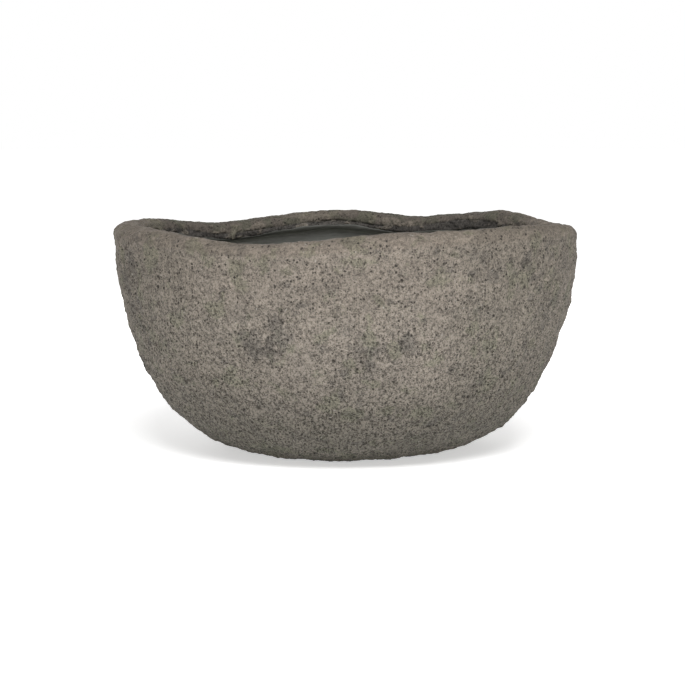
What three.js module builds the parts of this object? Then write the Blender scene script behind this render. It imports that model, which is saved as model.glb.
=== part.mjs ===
// Concrete bowl planter, in millimetres, +Z up, standing on the plane Z = 0 with its axis on X = Y = 0.
// The front is towards -Y. Bearings run anticlockwise from +X, seen from above.
//
// The bowl is one thick casting with a flat base, a full belly and a heavy lip that overhangs the
// planting space. A waterproof lining is bonded to its inside and laps round the lip's lower edge.
// A rubber stopper closes the drain hole in the floor. The casting was finished by hand, so its rim
// waves up and down and its foot has settled a little to one side. Casting and lining wave together.

import * as THREE from 'three';

// Casting
const RIM_DIAMETER = 600;      // over the lip, at the widest place
const RIM_HEIGHT = 292;        // from the floor to the lip's mean crest
const FOOT_RADIUS = 104;       // flat face that the bowl stands on
const FLOOR_THICKNESS = 26;
const WALL_THICKNESS = 22;
const BASE_SWEEP = 132;        // how far the belly runs out along the floor before it turns up
const WALL_SWEEP = 159;        // how far below the rim the belly starts to turn in
const WALL_LEAN = 8;           // how far the wall leans in over that depth
const THINNING_END = 0.5;      // share of the belly over which floor thickness fades into wall thickness

// Lip
const LIP_WIDTH = 38;
const LIP_DEPTH = 24;          // from the crest down to the overhanging lower edge
const LIP_OUTER_DROP = 13;     // height of the outer shoulder
const LIP_INNER_DROP = 12;     // height of the inner shoulder
const LIP_EDGE_ROUND = 5;      // lower inner edge
const UNDERCUT_ROUND = 8;      // hollow between the lip's underside and the wall
const SHOULDER_FULLNESS = 0.6; // handle length of the shoulders, 0.55 for an ellipse, more for a squarer one

// Drain hole
const DRAIN_RADIUS = 15;
const DRAIN_CHAMFER = 2;

// Lining
const LINING_THICKNESS = 2;
const BOND_GAP = 0.3;          // layer of adhesive between casting and lining
const LINING_LAP = 1;          // how far it laps up the lip's inner face, above the rounded edge

// Stopper
const STOPPER_CLEARANCE = 0.3; // round the shank, and under the flange
const STOPPER_TAPER = 1.5;     // how much smaller the shank's radius is at its tip
const STOPPER_TIP_SETBACK = 5; // from the tip up to the level of the base
const STOPPER_TIP_BEVEL = 2;
const FLANGE_LAP = 8;          // how far the flange reaches past the hole
const FLANGE_THICKNESS = 4;
const FLANGE_ROUND = 1.5;
const GRIP_RADIUS = 6.5;
const GRIP_NECK_RADIUS = 4;
const GRIP_NECK_HEIGHT = 5;
const GRIP_HEAD_HEIGHT = 5;

// Hand forming
const WAVE_REACH = 160;        // how far down from the rim the waves are felt
const RIM_WAVES = [
  { bearing: 8, rise: -6, spread: 18 },
  { bearing: 40, rise: 7, spread: 18 },
  { bearing: 74, rise: -5.5, spread: 14 },
  { bearing: 91, rise: 6.5, spread: 16 },
  { bearing: 130, rise: -10, spread: 17 },
  { bearing: 167, rise: 2, spread: 15 },
  { bearing: 247, rise: -11.5, spread: 22 },
  { bearing: 320, rise: 5, spread: 32 },
];
const FOOT_DRIFT = -5;         // how far the foot has settled along X
const FOOT_DRIFT_HEIGHT = 30;  // height at which the drift has died out

// Facets
const BOWL_FACETS = 64;
const STOPPER_FACETS = 32;
const WALL_STEPS = 12;
const ROUND_STEPS = 4;

const { smoothstep, lerp, degToRad, euclideanModulo } = THREE.MathUtils;
const rimRadius = RIM_DIAMETER / 2;
const lipInnerRadius = rimRadius - LIP_WIDTH;
const lipEdgeHeight = RIM_HEIGHT - LIP_DEPTH;
const liningTop = FLOOR_THICKNESS + BOND_GAP + LINING_THICKNESS;
const flangeRadius = DRAIN_RADIUS + FLANGE_LAP;

// The belly's outer line, from the edge of the foot up to the lip's outer shoulder.
const belly = new THREE.CubicBezierCurve(
  new THREE.Vector2(FOOT_RADIUS, 0),
  new THREE.Vector2(FOOT_RADIUS + BASE_SWEEP, 0),
  new THREE.Vector2(rimRadius - WALL_LEAN, RIM_HEIGHT - WALL_SWEEP),
  new THREE.Vector2(rimRadius, RIM_HEIGHT - LIP_OUTER_DROP),
);

// A point on the inside of the wall, square to the belly at a share of its way up.
function innerWallPoint(share) {
  const along = belly.getTangent(share);
  const thickness = lerp(FLOOR_THICKNESS, WALL_THICKNESS, smoothstep(share, 0, THINNING_END));
  return belly.getPoint(share).add(new THREE.Vector2(-along.y, along.x).multiplyScalar(thickness));
}

// The share of the belly at which the inside of the wall reaches a height, found by halving.
function shareAtHeight(height) {
  let low = 0;
  let high = 1;
  while (high - low > 1e-6) {
    const middle = (low + high) / 2;
    if (innerWallPoint(middle).y < height) {
      low = middle;
    } else {
      high = middle;
    }
  }
  return low;
}

// A shoulder of the lip, from a start on its side to an end on its crest or the other way round.
function shoulder(start, end, cornerX, cornerY) {
  const corner = new THREE.Vector2(cornerX, cornerY);
  return new THREE.CubicBezierCurve(
    start,
    start.clone().lerp(corner, SHOULDER_FULLNESS),
    end.clone().lerp(corner, SHOULDER_FULLNESS),
    end,
  );
}

// A quarter round about a centre, between two angles in degrees.
function quarter(centreX, centreY, radius, from, to) {
  const clockwise = to < from;
  return new THREE.ArcCurve(centreX, centreY, radius, degToRad(from), degToRad(to), clockwise);
}

// The line that the lining is bonded to, from the drain hole out over the floor, up the wall, round
// the hollow under the lip, round the lip's lower edge and a little way up the lip's inner face.
function bondedLine() {
  const hollowFoot = lipEdgeHeight - UNDERCUT_ROUND;
  const top = shareAtHeight(hollowFoot);
  const points = [new THREE.Vector2(DRAIN_RADIUS, FLOOR_THICKNESS)];
  for (let step = 0; step <= WALL_STEPS; step += 1) {
    points.push(innerWallPoint(top * step / WALL_STEPS));
  }
  const wallRadius = points.at(-1).x;
  const hollow = quarter(wallRadius - UNDERCUT_ROUND, hollowFoot, UNDERCUT_ROUND, 0, 90);
  const edge = quarter(lipInnerRadius + LIP_EDGE_ROUND, lipEdgeHeight + LIP_EDGE_ROUND, LIP_EDGE_ROUND, 270, 180);
  points.push(...hollow.getPoints(ROUND_STEPS).slice(1));
  points.push(...edge.getPoints(ROUND_STEPS));
  points.push(new THREE.Vector2(lipInnerRadius, lipEdgeHeight + LIP_EDGE_ROUND + LINING_LAP));
  return points;
}

// A line moved sideways, to the left of its own direction, with mitred corners.
function offsetLine(points, distance) {
  const sides = points.slice(1).map((point, index) => {
    const along = point.clone().sub(points[index]).normalize();
    return new THREE.Vector2(-along.y, along.x);
  });
  return points.map((point, index) => {
    const before = sides[Math.max(index - 1, 0)];
    const after = sides[Math.min(index, sides.length - 1)];
    const mitre = before.clone().add(after).normalize();
    return point.clone().addScaledVector(mitre, distance / mitre.dot(before));
  });
}

// A closed outline, anticlockwise in radius and height, turned about Z.
function turned(outline, facets) {
  const closed = [...outline, outline[0]];
  return new THREE.LatheGeometry(closed, facets).rotateX(Math.PI / 2);
}

// How much higher than its mean the rim stands at a bearing in degrees.
function rimRise(bearing) {
  return RIM_WAVES.reduce((sum, wave) => {
    const away = euclideanModulo(bearing - wave.bearing + 180, 360) - 180;
    return sum + wave.rise * Math.exp(-((away / wave.spread) ** 2));
  }, 0);
}

// The hand forming, as one field over the whole bowl: the rim's waves fade out down the wall, and the
// foot's drift fades out up the belly and towards the drain hole, which stays round and central.
function formByHand(geometry) {
  const position = geometry.attributes.position;
  for (let index = 0; index < position.count; index += 1) {
    const x = position.getX(index);
    const y = position.getY(index);
    const z = position.getZ(index);
    const felt = smoothstep(z, RIM_HEIGHT - WAVE_REACH, RIM_HEIGHT);
    const rise = felt * rimRise(Math.atan2(y, x) * THREE.MathUtils.RAD2DEG);
    const low = 1 - smoothstep(z, 0, FOOT_DRIFT_HEIGHT);
    const drift = FOOT_DRIFT * low * smoothstep(Math.hypot(x, y), flangeRadius, FOOT_RADIUS);
    position.setXYZ(index, x + drift, y, z + rise);
  }
  geometry.computeVertexNormals();
  return geometry;
}

// The casting: base, belly, lip, inside and drain hole as one outline.
function shellGeometry() {
  const crest = new THREE.Vector2(rimRadius - LIP_WIDTH / 2, RIM_HEIGHT);
  const innerStart = new THREE.Vector2(lipInnerRadius, RIM_HEIGHT - LIP_INNER_DROP);
  const outerShoulder = shoulder(belly.v3, crest, rimRadius, RIM_HEIGHT);
  const innerShoulder = shoulder(crest, innerStart, lipInnerRadius, RIM_HEIGHT);
  const outline = [
    new THREE.Vector2(DRAIN_RADIUS + DRAIN_CHAMFER, 0),
    ...belly.getPoints(WALL_STEPS),
    ...outerShoulder.getPoints(ROUND_STEPS).slice(1),
    ...innerShoulder.getPoints(ROUND_STEPS).slice(1),
    ...bondedLine().reverse(),
    new THREE.Vector2(DRAIN_RADIUS, DRAIN_CHAMFER),
  ];
  return formByHand(turned(outline, BOWL_FACETS));
}

// The lining: the bonded line thickened towards the planting space.
function liningGeometry() {
  const line = bondedLine();
  const glued = offsetLine(line, BOND_GAP);
  const open = offsetLine(line, BOND_GAP + LINING_THICKNESS);
  return formByHand(turned([...glued, ...open.reverse()], BOWL_FACETS));
}

// The stopper: a tapered shank in the hole, a flange on the lining and a mushroom grip.
function stopperGeometry() {
  const seat = liningTop + STOPPER_CLEARANCE;
  const shankRadius = DRAIN_RADIUS - STOPPER_CLEARANCE;
  const tipRadius = shankRadius - STOPPER_TAPER;
  const flangeTop = seat + FLANGE_THICKNESS;
  const headBase = flangeTop + GRIP_NECK_HEIGHT;
  const flangeEdge = quarter(flangeRadius - FLANGE_ROUND, flangeTop - FLANGE_ROUND, FLANGE_ROUND, 0, 90);
  const head = new THREE.EllipseCurve(0, headBase, GRIP_RADIUS, GRIP_HEAD_HEIGHT, 0, Math.PI / 2);
  const outline = [
    new THREE.Vector2(0, STOPPER_TIP_SETBACK),
    new THREE.Vector2(tipRadius - STOPPER_TIP_BEVEL, STOPPER_TIP_SETBACK),
    new THREE.Vector2(tipRadius, STOPPER_TIP_SETBACK + STOPPER_TIP_BEVEL),
    new THREE.Vector2(shankRadius, seat),
    new THREE.Vector2(flangeRadius, seat),
    ...flangeEdge.getPoints(ROUND_STEPS),
    new THREE.Vector2(GRIP_NECK_RADIUS, flangeTop),
    new THREE.Vector2(GRIP_NECK_RADIUS, headBase),
    ...head.getPoints(ROUND_STEPS).slice(0, -1),
    new THREE.Vector2(0, headBase + GRIP_HEAD_HEIGHT),
  ];
  return new THREE.LatheGeometry(outline, STOPPER_FACETS).rotateX(Math.PI / 2);
}

// One piece of the planter in its own material.
function piece(name, geometry, color, roughness) {
  const material = new THREE.MeshStandardMaterial({ color, roughness, metalness: 0 });
  const mesh = new THREE.Mesh(geometry, material);
  mesh.name = name;
  return mesh;
}

const planter = new THREE.Group();
planter.add(piece('bowl_shell', shellGeometry(), 0x867e74, 0.95));
planter.add(piece('inner_lining', liningGeometry(), 0x50524d, 0.6));
planter.add(piece('drain_plug', stopperGeometry(), 0x1d1d1e, 0.8));

export default planter;
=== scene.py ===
"""Dresses the concrete bowl planter: its rough casting, its bonded lining and its rubber stopper.

All lengths are metres. The bowl stands on the plane Z = 0 round the Z axis, and its front is
towards -Y. Bearings run anticlockwise from +X, seen from above. An outline is a list of radius and
height pairs that runs anticlockwise, so that the solid lies on its left.
"""

import itertools
import logging
import math
from collections.abc import Iterable, Sequence
from dataclasses import dataclass
from enum import Enum
from typing import NamedTuple

import bpy
import numpy as np
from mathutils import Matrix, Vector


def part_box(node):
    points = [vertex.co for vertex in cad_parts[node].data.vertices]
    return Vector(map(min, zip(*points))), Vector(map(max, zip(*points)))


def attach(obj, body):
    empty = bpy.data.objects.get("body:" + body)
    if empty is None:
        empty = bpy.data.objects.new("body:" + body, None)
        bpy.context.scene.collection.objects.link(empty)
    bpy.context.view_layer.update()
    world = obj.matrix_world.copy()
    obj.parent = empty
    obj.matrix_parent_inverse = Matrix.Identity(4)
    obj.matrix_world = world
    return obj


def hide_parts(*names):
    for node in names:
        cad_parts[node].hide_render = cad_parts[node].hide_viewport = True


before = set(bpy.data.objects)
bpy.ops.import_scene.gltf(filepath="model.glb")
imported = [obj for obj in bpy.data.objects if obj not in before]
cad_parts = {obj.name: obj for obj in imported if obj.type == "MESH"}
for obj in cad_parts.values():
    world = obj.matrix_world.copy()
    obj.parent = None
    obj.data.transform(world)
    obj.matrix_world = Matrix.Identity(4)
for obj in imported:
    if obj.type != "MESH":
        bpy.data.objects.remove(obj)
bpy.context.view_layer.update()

log = logging.getLogger("planter")

MM = 0.001
FULL_TURN = 2 * math.pi
TABLE = 256  # entries in a field's random table, after which it repeats
FIELD_GAIN = 1.7  # brings a grain field to about -1 to 1
DRAIN_RADIUS = 15 * MM
SEAT_GAP = 0.3 * MM  # between the lining and the stopper's flange

Colour = tuple[float, float, float]
Point = Sequence[float]
Socket = bpy.types.NodeSocket


class Zone(Enum):
    """A stretch of the casting's outline, named by how it was left."""

    SOLE = "flat underside"
    BELLY = "outside wall"
    LIP = "rolled top"
    FACE = "inner face of the lip"
    HOLLOW = "hollow under the lip"
    BONDED = "hidden under the lining"
    DRAIN = "drain hole"


def smooth_rise(value: np.ndarray, start: float, end: float) -> np.ndarray:
    """Rises smoothly from 0 at start to 1 at end, which may lie below start."""
    share = np.clip((value - start) / (end - start), 0.0, 1.0)
    return share * share * (3.0 - 2.0 * share)


def spaced(points: np.ndarray, step: float) -> np.ndarray:
    """Spreads points evenly along a line.

    Args:
        points: The line's own points.
        step: About how far apart the new points lie.

    Returns:
        Points from the line's start up to, but not including, its end.
    """
    gaps = np.linalg.norm(np.diff(points, axis=0), axis=1)
    lengths = np.concatenate([[0.0], np.cumsum(gaps)])
    count = max(1, round(lengths[-1] / step))
    places = np.linspace(0.0, lengths[-1], count + 1)[:-1]
    return np.stack([np.interp(places, lengths, points[:, axis]) for axis in range(2)], axis=1)


def cubic(start: Point, pull: Point, push: Point, end: Point, share: np.ndarray) -> np.ndarray:
    """Gives points on a cubic curve.

    Args:
        start: Where it starts.
        pull: The handle that it leaves towards.
        push: The handle that it arrives from.
        end: Where it ends.
        share: Shares of the way along it.

    Returns:
        A point for each share.
    """
    t = share[:, None]
    s = 1.0 - t
    parts = (s**3, 3 * s**2 * t, 3 * s * t**2, t**3)
    points = (start, pull, push, end)
    return sum(part * np.asarray(point) for part, point in zip(parts, points, strict=True))


def left_of(line: np.ndarray) -> np.ndarray:
    """Gives the direction to the left of a line.

    Args:
        line: The line's points.

    Returns:
        A unit direction for each point.
    """
    along = np.gradient(line, axis=0)
    left = np.stack([-along[:, 1], along[:, 0]], axis=1)
    return left / np.linalg.norm(left, axis=1, keepdims=True)


def bearings_of(places: np.ndarray) -> np.ndarray:
    """Gives the bearing of each place, in degrees."""
    return np.degrees(np.arctan2(places[:, 1], places[:, 0]))


def drawn(order: np.ndarray, cubes: np.ndarray) -> np.ndarray:
    """Draws an entry of a shuffled table for each cube of space, given by whole numbers."""
    cell = cubes & (TABLE - 1)
    return order[order[order[cell[:, 0]] + cell[:, 1]] + cell[:, 2]]


class Band(NamedTuple):
    """A soft-edged band along a piece.

    Attributes:
        start: Where it starts.
        full: Where it reaches its strength.
        fade: Where it starts to fade.
        end: Where it ends.
        strength: How strong it is.
    """

    start: float
    full: float
    fade: float
    end: float
    strength: float = 1.0

    def at(self, value: np.ndarray) -> np.ndarray:
        """Gives its strength at each value."""
        rising = self.strength * smooth_rise(value, self.start, self.full)
        return rising * (1.0 - smooth_rise(value, self.fade, self.end))


@dataclass(frozen=True)
class GrainField:
    """Smooth random relief in space, the same on every run.

    Attributes:
        size: How far apart its lumps lie.
        seed: Which of the random fields it is.
    """

    size: float
    seed: int

    def at(self, points: np.ndarray) -> np.ndarray:
        """Reads the field.

        Args:
            points: Places in space, one per row.

        Returns:
            A value from about -1 to 1 for each place.
        """
        random = np.random.default_rng(self.seed)
        order = np.tile(random.permutation(TABLE), 2)
        arrows = random.normal(size=(TABLE, 3))
        arrows /= np.linalg.norm(arrows, axis=1, keepdims=True)
        scaled = points / self.size
        base = np.floor(scaled).astype(np.int64)
        local = scaled - base
        fade = local**3 * (local * (local * 6 - 15) + 10)
        total = np.zeros(len(points))
        for corner in itertools.product((0, 1), repeat=3):
            arrow = arrows[drawn(order, base + corner)]
            weight = np.prod(np.where(corner, fade, 1 - fade), axis=1)
            total += weight * np.einsum("ij,ij->i", arrow, local - corner)
        return FIELD_GAIN * total


@dataclass(frozen=True)
class PairedGrain:
    """A coarse relief with a finer one on it.

    Attributes:
        coarse: The coarse one.
        fine: The finer one.
        share: How strong the finer one is.
    """

    coarse: GrainField
    fine: GrainField
    share: float

    def at(self, points: np.ndarray) -> np.ndarray:
        """Reads both together."""
        return self.coarse.at(points) + self.share * self.fine.at(points)


@dataclass(frozen=True)
class BubbleField:
    """Round voids scattered in space, which a surface cuts into pits.

    Attributes:
        cell: The side of the cube of space that holds one void.
        least: The smallest void's radius, as a share of the cell.
        most: The largest void's radius, as a share of the cell, at most a half.
        filled: The share of cells that hold a void.
        seed: Which of the random fields it is.
    """

    cell: float
    least: float
    most: float
    filled: float
    seed: int

    def at(self, points: np.ndarray, crowding: np.ndarray) -> np.ndarray:
        """Reads how deep each place lies in a void.

        Args:
            points: Places in space, one per row.
            crowding: A factor on the share of filled cells at each place.

        Returns:
            A depth for each place, 0 outside every void.
        """
        random = np.random.default_rng(self.seed)
        order = np.tile(random.permutation(TABLE), 2)
        centres = random.random((TABLE, 3))
        sizes = random.random(TABLE)
        lots = random.random(TABLE)
        scaled = points / self.cell
        base = np.floor(scaled - 0.5).astype(np.int64)
        deepest = np.zeros(len(points))
        for corner in itertools.product((0, 1), repeat=3):
            place = base + corner
            index = drawn(order, place)
            radius = self.least + (self.most - self.least) * sizes[index] ** 2
            away = np.linalg.norm(scaled - place - centres[index], axis=1)
            depth = np.sqrt(np.clip(radius**2 - away**2, 0.0, None))
            held = lots[index] < self.filled * crowding
            deepest = np.maximum(deepest, np.where(held, depth, 0.0))
        return deepest * self.cell


@dataclass(frozen=True)
class RimWave:
    """One rise or dip of the hand-formed rim.

    Attributes:
        bearing: Where it is, in degrees.
        rise: How high it is, negative for a dip.
        spread: How wide it is, in degrees.
    """

    bearing: float
    rise: float
    spread: float


@dataclass(frozen=True)
class AgeMark:
    """One patch that weather, handling or a flake left.

    Attributes:
        bearing: Where its middle is, in degrees.
        height: How high that is.
        reach: How far it spreads.
        strength: How strong it is, negative where it is paler or barer than the rest.
    """

    bearing: float
    height: float
    reach: float
    strength: float


@dataclass(frozen=True)
class BowlForm:
    """The bowl's true form: its outline and the hand forming that bends casting and lining alike.

    Attributes:
        rim_radius: Over the lip, at the widest place.
        drain_radius: The hole in the floor.
        rim_height: From the floor to the lip's mean crest.
        foot_radius: The flat underside.
        floor_thickness: The casting at the drain hole.
        wall_thickness: The casting up the wall.
        base_sweep: The reach of the outline's handle at the foot.
        wall_sweep: The drop of its handle at the rim.
        wall_lean: How far that handle leans in.
        thinning_end: The share of the outline at which the wall is down to its thickness.
        lip_width: The rolled top.
        lip_depth: From its crest to its lower edge.
        lip_outer_drop: From its crest to where the outside wall starts.
        lip_inner_drop: From its crest to its flat inner face.
        lip_edge_round: The rounding of its lower edge.
        undercut_round: The rounding of the hollow below it.
        shoulder_fullness: How square its shoulders are, from 0 to 1.
        drain_chamfer: The bevel of the hole's lower rim.
        bond_gap: The layer of adhesive.
        lining_thickness: The bonded skin.
        lining_lap: How far that climbs past the lip's rounded edge.
        lining_edge: Where its upper edge dips.
        wave_reach: How far down from the rim its waves are felt.
        foot_drift: How far the foot sits off centre.
        foot_drift_height: How far up that is felt.
        drift_start: The radius inside which it isn't.
        waves: The rises and dips of the rim.
        curve_points: How many points a long curve has.
    """

    rim_radius: float
    drain_radius: float
    rim_height: float = 292 * MM
    foot_radius: float = 104 * MM
    floor_thickness: float = 26 * MM
    wall_thickness: float = 22 * MM
    base_sweep: float = 132 * MM
    wall_sweep: float = 159 * MM
    wall_lean: float = 8 * MM
    thinning_end: float = 0.5
    lip_width: float = 38 * MM
    lip_depth: float = 24 * MM
    lip_outer_drop: float = 13 * MM
    lip_inner_drop: float = 12 * MM
    lip_edge_round: float = 5 * MM
    undercut_round: float = 8 * MM
    shoulder_fullness: float = 0.6
    drain_chamfer: float = 2 * MM
    bond_gap: float = 0.3 * MM
    lining_thickness: float = 2 * MM
    lining_lap: float = 1 * MM
    lining_edge: tuple[RimWave, ...] = (
        RimWave(48, -6 * MM, 15),
        RimWave(71, -3 * MM, 9),
        RimWave(91, -2.6 * MM, 26),
        RimWave(128, -6.5 * MM, 18),
        RimWave(214, -4 * MM, 20),
        RimWave(286, -5 * MM, 17),
        RimWave(345, -3 * MM, 14),
    )
    wave_reach: float = 160 * MM
    foot_drift: float = -5 * MM
    foot_drift_height: float = 30 * MM
    drift_start: float = 23 * MM
    waves: tuple[RimWave, ...] = (
        RimWave(8, -6 * MM, 18),
        RimWave(40, 7 * MM, 18),
        RimWave(74, -5.5 * MM, 14),
        RimWave(91, 6.5 * MM, 16),
        RimWave(130, -10 * MM, 17),
        RimWave(167, 2 * MM, 15),
        RimWave(247, -11.5 * MM, 22),
        RimWave(320, 5 * MM, 32),
    )
    curve_points: int = 240

    @property
    def lip_inner_radius(self) -> float:
        """The lip's inner face."""
        return self.rim_radius - self.lip_width

    @property
    def lip_edge_height(self) -> float:
        """The lip's lower edge."""
        return self.rim_height - self.lip_depth

    @property
    def lap_height(self) -> float:
        """The lining's upper edge on the lip's inner face."""
        return self.lip_edge_height + self.lip_edge_round + self.lining_lap

    def belly(self) -> np.ndarray:
        """Gives the outside wall's outline, from the foot up to the lip.

        Returns:
            Its points.
        """
        return cubic(
            (self.foot_radius, 0.0),
            (self.foot_radius + self.base_sweep, 0.0),
            (self.rim_radius - self.wall_lean, self.rim_height - self.wall_sweep),
            (self.rim_radius, self.rim_height - self.lip_outer_drop),
            np.linspace(0.0, 1.0, self.curve_points),
        )

    @property
    def hollow_foot(self) -> float:
        """Where the hollow under the lip starts."""
        return self.lip_edge_height - self.undercut_round

    def inner_wall(self) -> np.ndarray:
        """Gives the inside wall's outline, from the floor up to the hollow under the lip.

        Returns:
            Its points.
        """
        belly = self.belly()
        share = np.linspace(0.0, 1.0, self.curve_points)
        thinned = smooth_rise(share, 0.0, self.thinning_end)
        thickness = self.floor_thickness + (self.wall_thickness - self.floor_thickness) * thinned
        wall = belly + left_of(belly) * thickness[:, None]
        return wall[wall[:, 1] < self.hollow_foot]

    def shoulder(self, start: Point, end: Point, corner: Point) -> np.ndarray:
        """Gives one rounded shoulder of the lip.

        Args:
            start: Where it starts.
            end: Where it ends.
            corner: Where the lip's flat sides would meet.

        Returns:
            Its points.
        """
        handles = [
            [a + (b - a) * self.shoulder_fullness for a, b in zip(point, corner, strict=True)]
            for point in (start, end)
        ]
        share = np.linspace(0.0, 1.0, self.curve_points // 4)
        return cubic(start, handles[0], handles[1], end, share)

    def lip(self) -> np.ndarray:
        """Gives the rolled top's outline, from the outside wall over to the inner face.

        Returns:
            Its points.
        """
        crest = (self.rim_radius - self.lip_width / 2, self.rim_height)
        outer = (self.rim_radius, self.rim_height - self.lip_outer_drop)
        inner = (self.lip_inner_radius, self.rim_height - self.lip_inner_drop)
        over = self.shoulder(outer, crest, (self.rim_radius, self.rim_height))
        under = self.shoulder(crest, inner, (self.lip_inner_radius, self.rim_height))
        return np.concatenate([over, under[1:]])

    def quarter(self, centre: Point, radius: float, start: float, end: float) -> np.ndarray:
        """Gives a quarter round about a centre, from one angle in degrees to another."""
        angles = np.radians(np.linspace(start, end, self.curve_points // 8))
        return np.asarray(centre) + radius * np.stack([np.cos(angles), np.sin(angles)], axis=1)

    def bonded_line(self) -> np.ndarray:
        """Gives the line that the lining is bonded to, from the drain hole up to its lap.

        Returns:
            Its points.
        """
        wall = self.inner_wall()
        hollow_radius = wall[-1, 0] - self.undercut_round
        hollow = self.quarter((hollow_radius, self.hollow_foot), self.undercut_round, 0, 90)
        rounding = self.lip_edge_round
        edge_centre = (self.lip_inner_radius + rounding, self.lip_edge_height + rounding)
        edge = self.quarter(edge_centre, rounding, 270, 180)
        drain = [[self.drain_radius, self.floor_thickness]]
        lap = [[self.lip_inner_radius, self.lap_height]]
        return np.concatenate([drain, wall, hollow, edge, lap])

    def stretches(self) -> list[tuple[Zone, np.ndarray]]:
        """Gives the casting's whole outline, zone by zone, from the drain hole's lower rim.

        Returns:
            Each zone and its points.
        """
        hole_foot = [self.drain_radius + self.drain_chamfer, 0.0]
        hole_side = [self.drain_radius, self.drain_chamfer]
        bonded = self.bonded_line()[::-1]
        face_end = int(np.argmin(bonded[:, 1] > self.lip_edge_height))
        wall_start = int(np.argmin(bonded[:, 1] >= self.hollow_foot))
        shoulder_end = [self.lip_inner_radius, self.rim_height - self.lip_inner_drop]
        return [
            (Zone.SOLE, np.array([hole_foot, [self.foot_radius, 0.0]])),
            (Zone.BELLY, self.belly()),
            (Zone.LIP, self.lip()),
            (Zone.FACE, np.concatenate([[shoulder_end], bonded[: face_end + 1]])),
            (Zone.HOLLOW, bonded[face_end : wall_start + 1]),
            (Zone.BONDED, bonded[wall_start:]),
            (Zone.DRAIN, np.array([bonded[-1], hole_side, hole_foot])),
        ]

    def felt(self, waves: Iterable[RimWave], bearing: np.ndarray) -> np.ndarray:
        """Adds up waves.

        Args:
            waves: The waves.
            bearing: Where to read them, in degrees.

        Returns:
            Their sum at each bearing.
        """
        total = np.zeros_like(bearing)
        for wave in waves:
            away = (bearing - wave.bearing + 180) % 360 - 180
            total += wave.rise * np.exp(-((away / wave.spread) ** 2))
        return total

    def by_hand(self, points: np.ndarray) -> np.ndarray:
        """Bends a truly round surface as the maker's hands did.

        Args:
            points: Places on the round surface, one per row.

        Returns:
            The same places on the real one.
        """
        x, y, z = points.T
        share = smooth_rise(z, self.rim_height - self.wave_reach, self.rim_height)
        low = 1.0 - smooth_rise(z, 0.0, self.foot_drift_height)
        out = smooth_rise(np.hypot(x, y), self.drift_start, self.foot_radius)
        rise = share * self.felt(self.waves, bearings_of(points))
        return np.stack([x + self.foot_drift * low * out, y, z + rise], axis=1)


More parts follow.
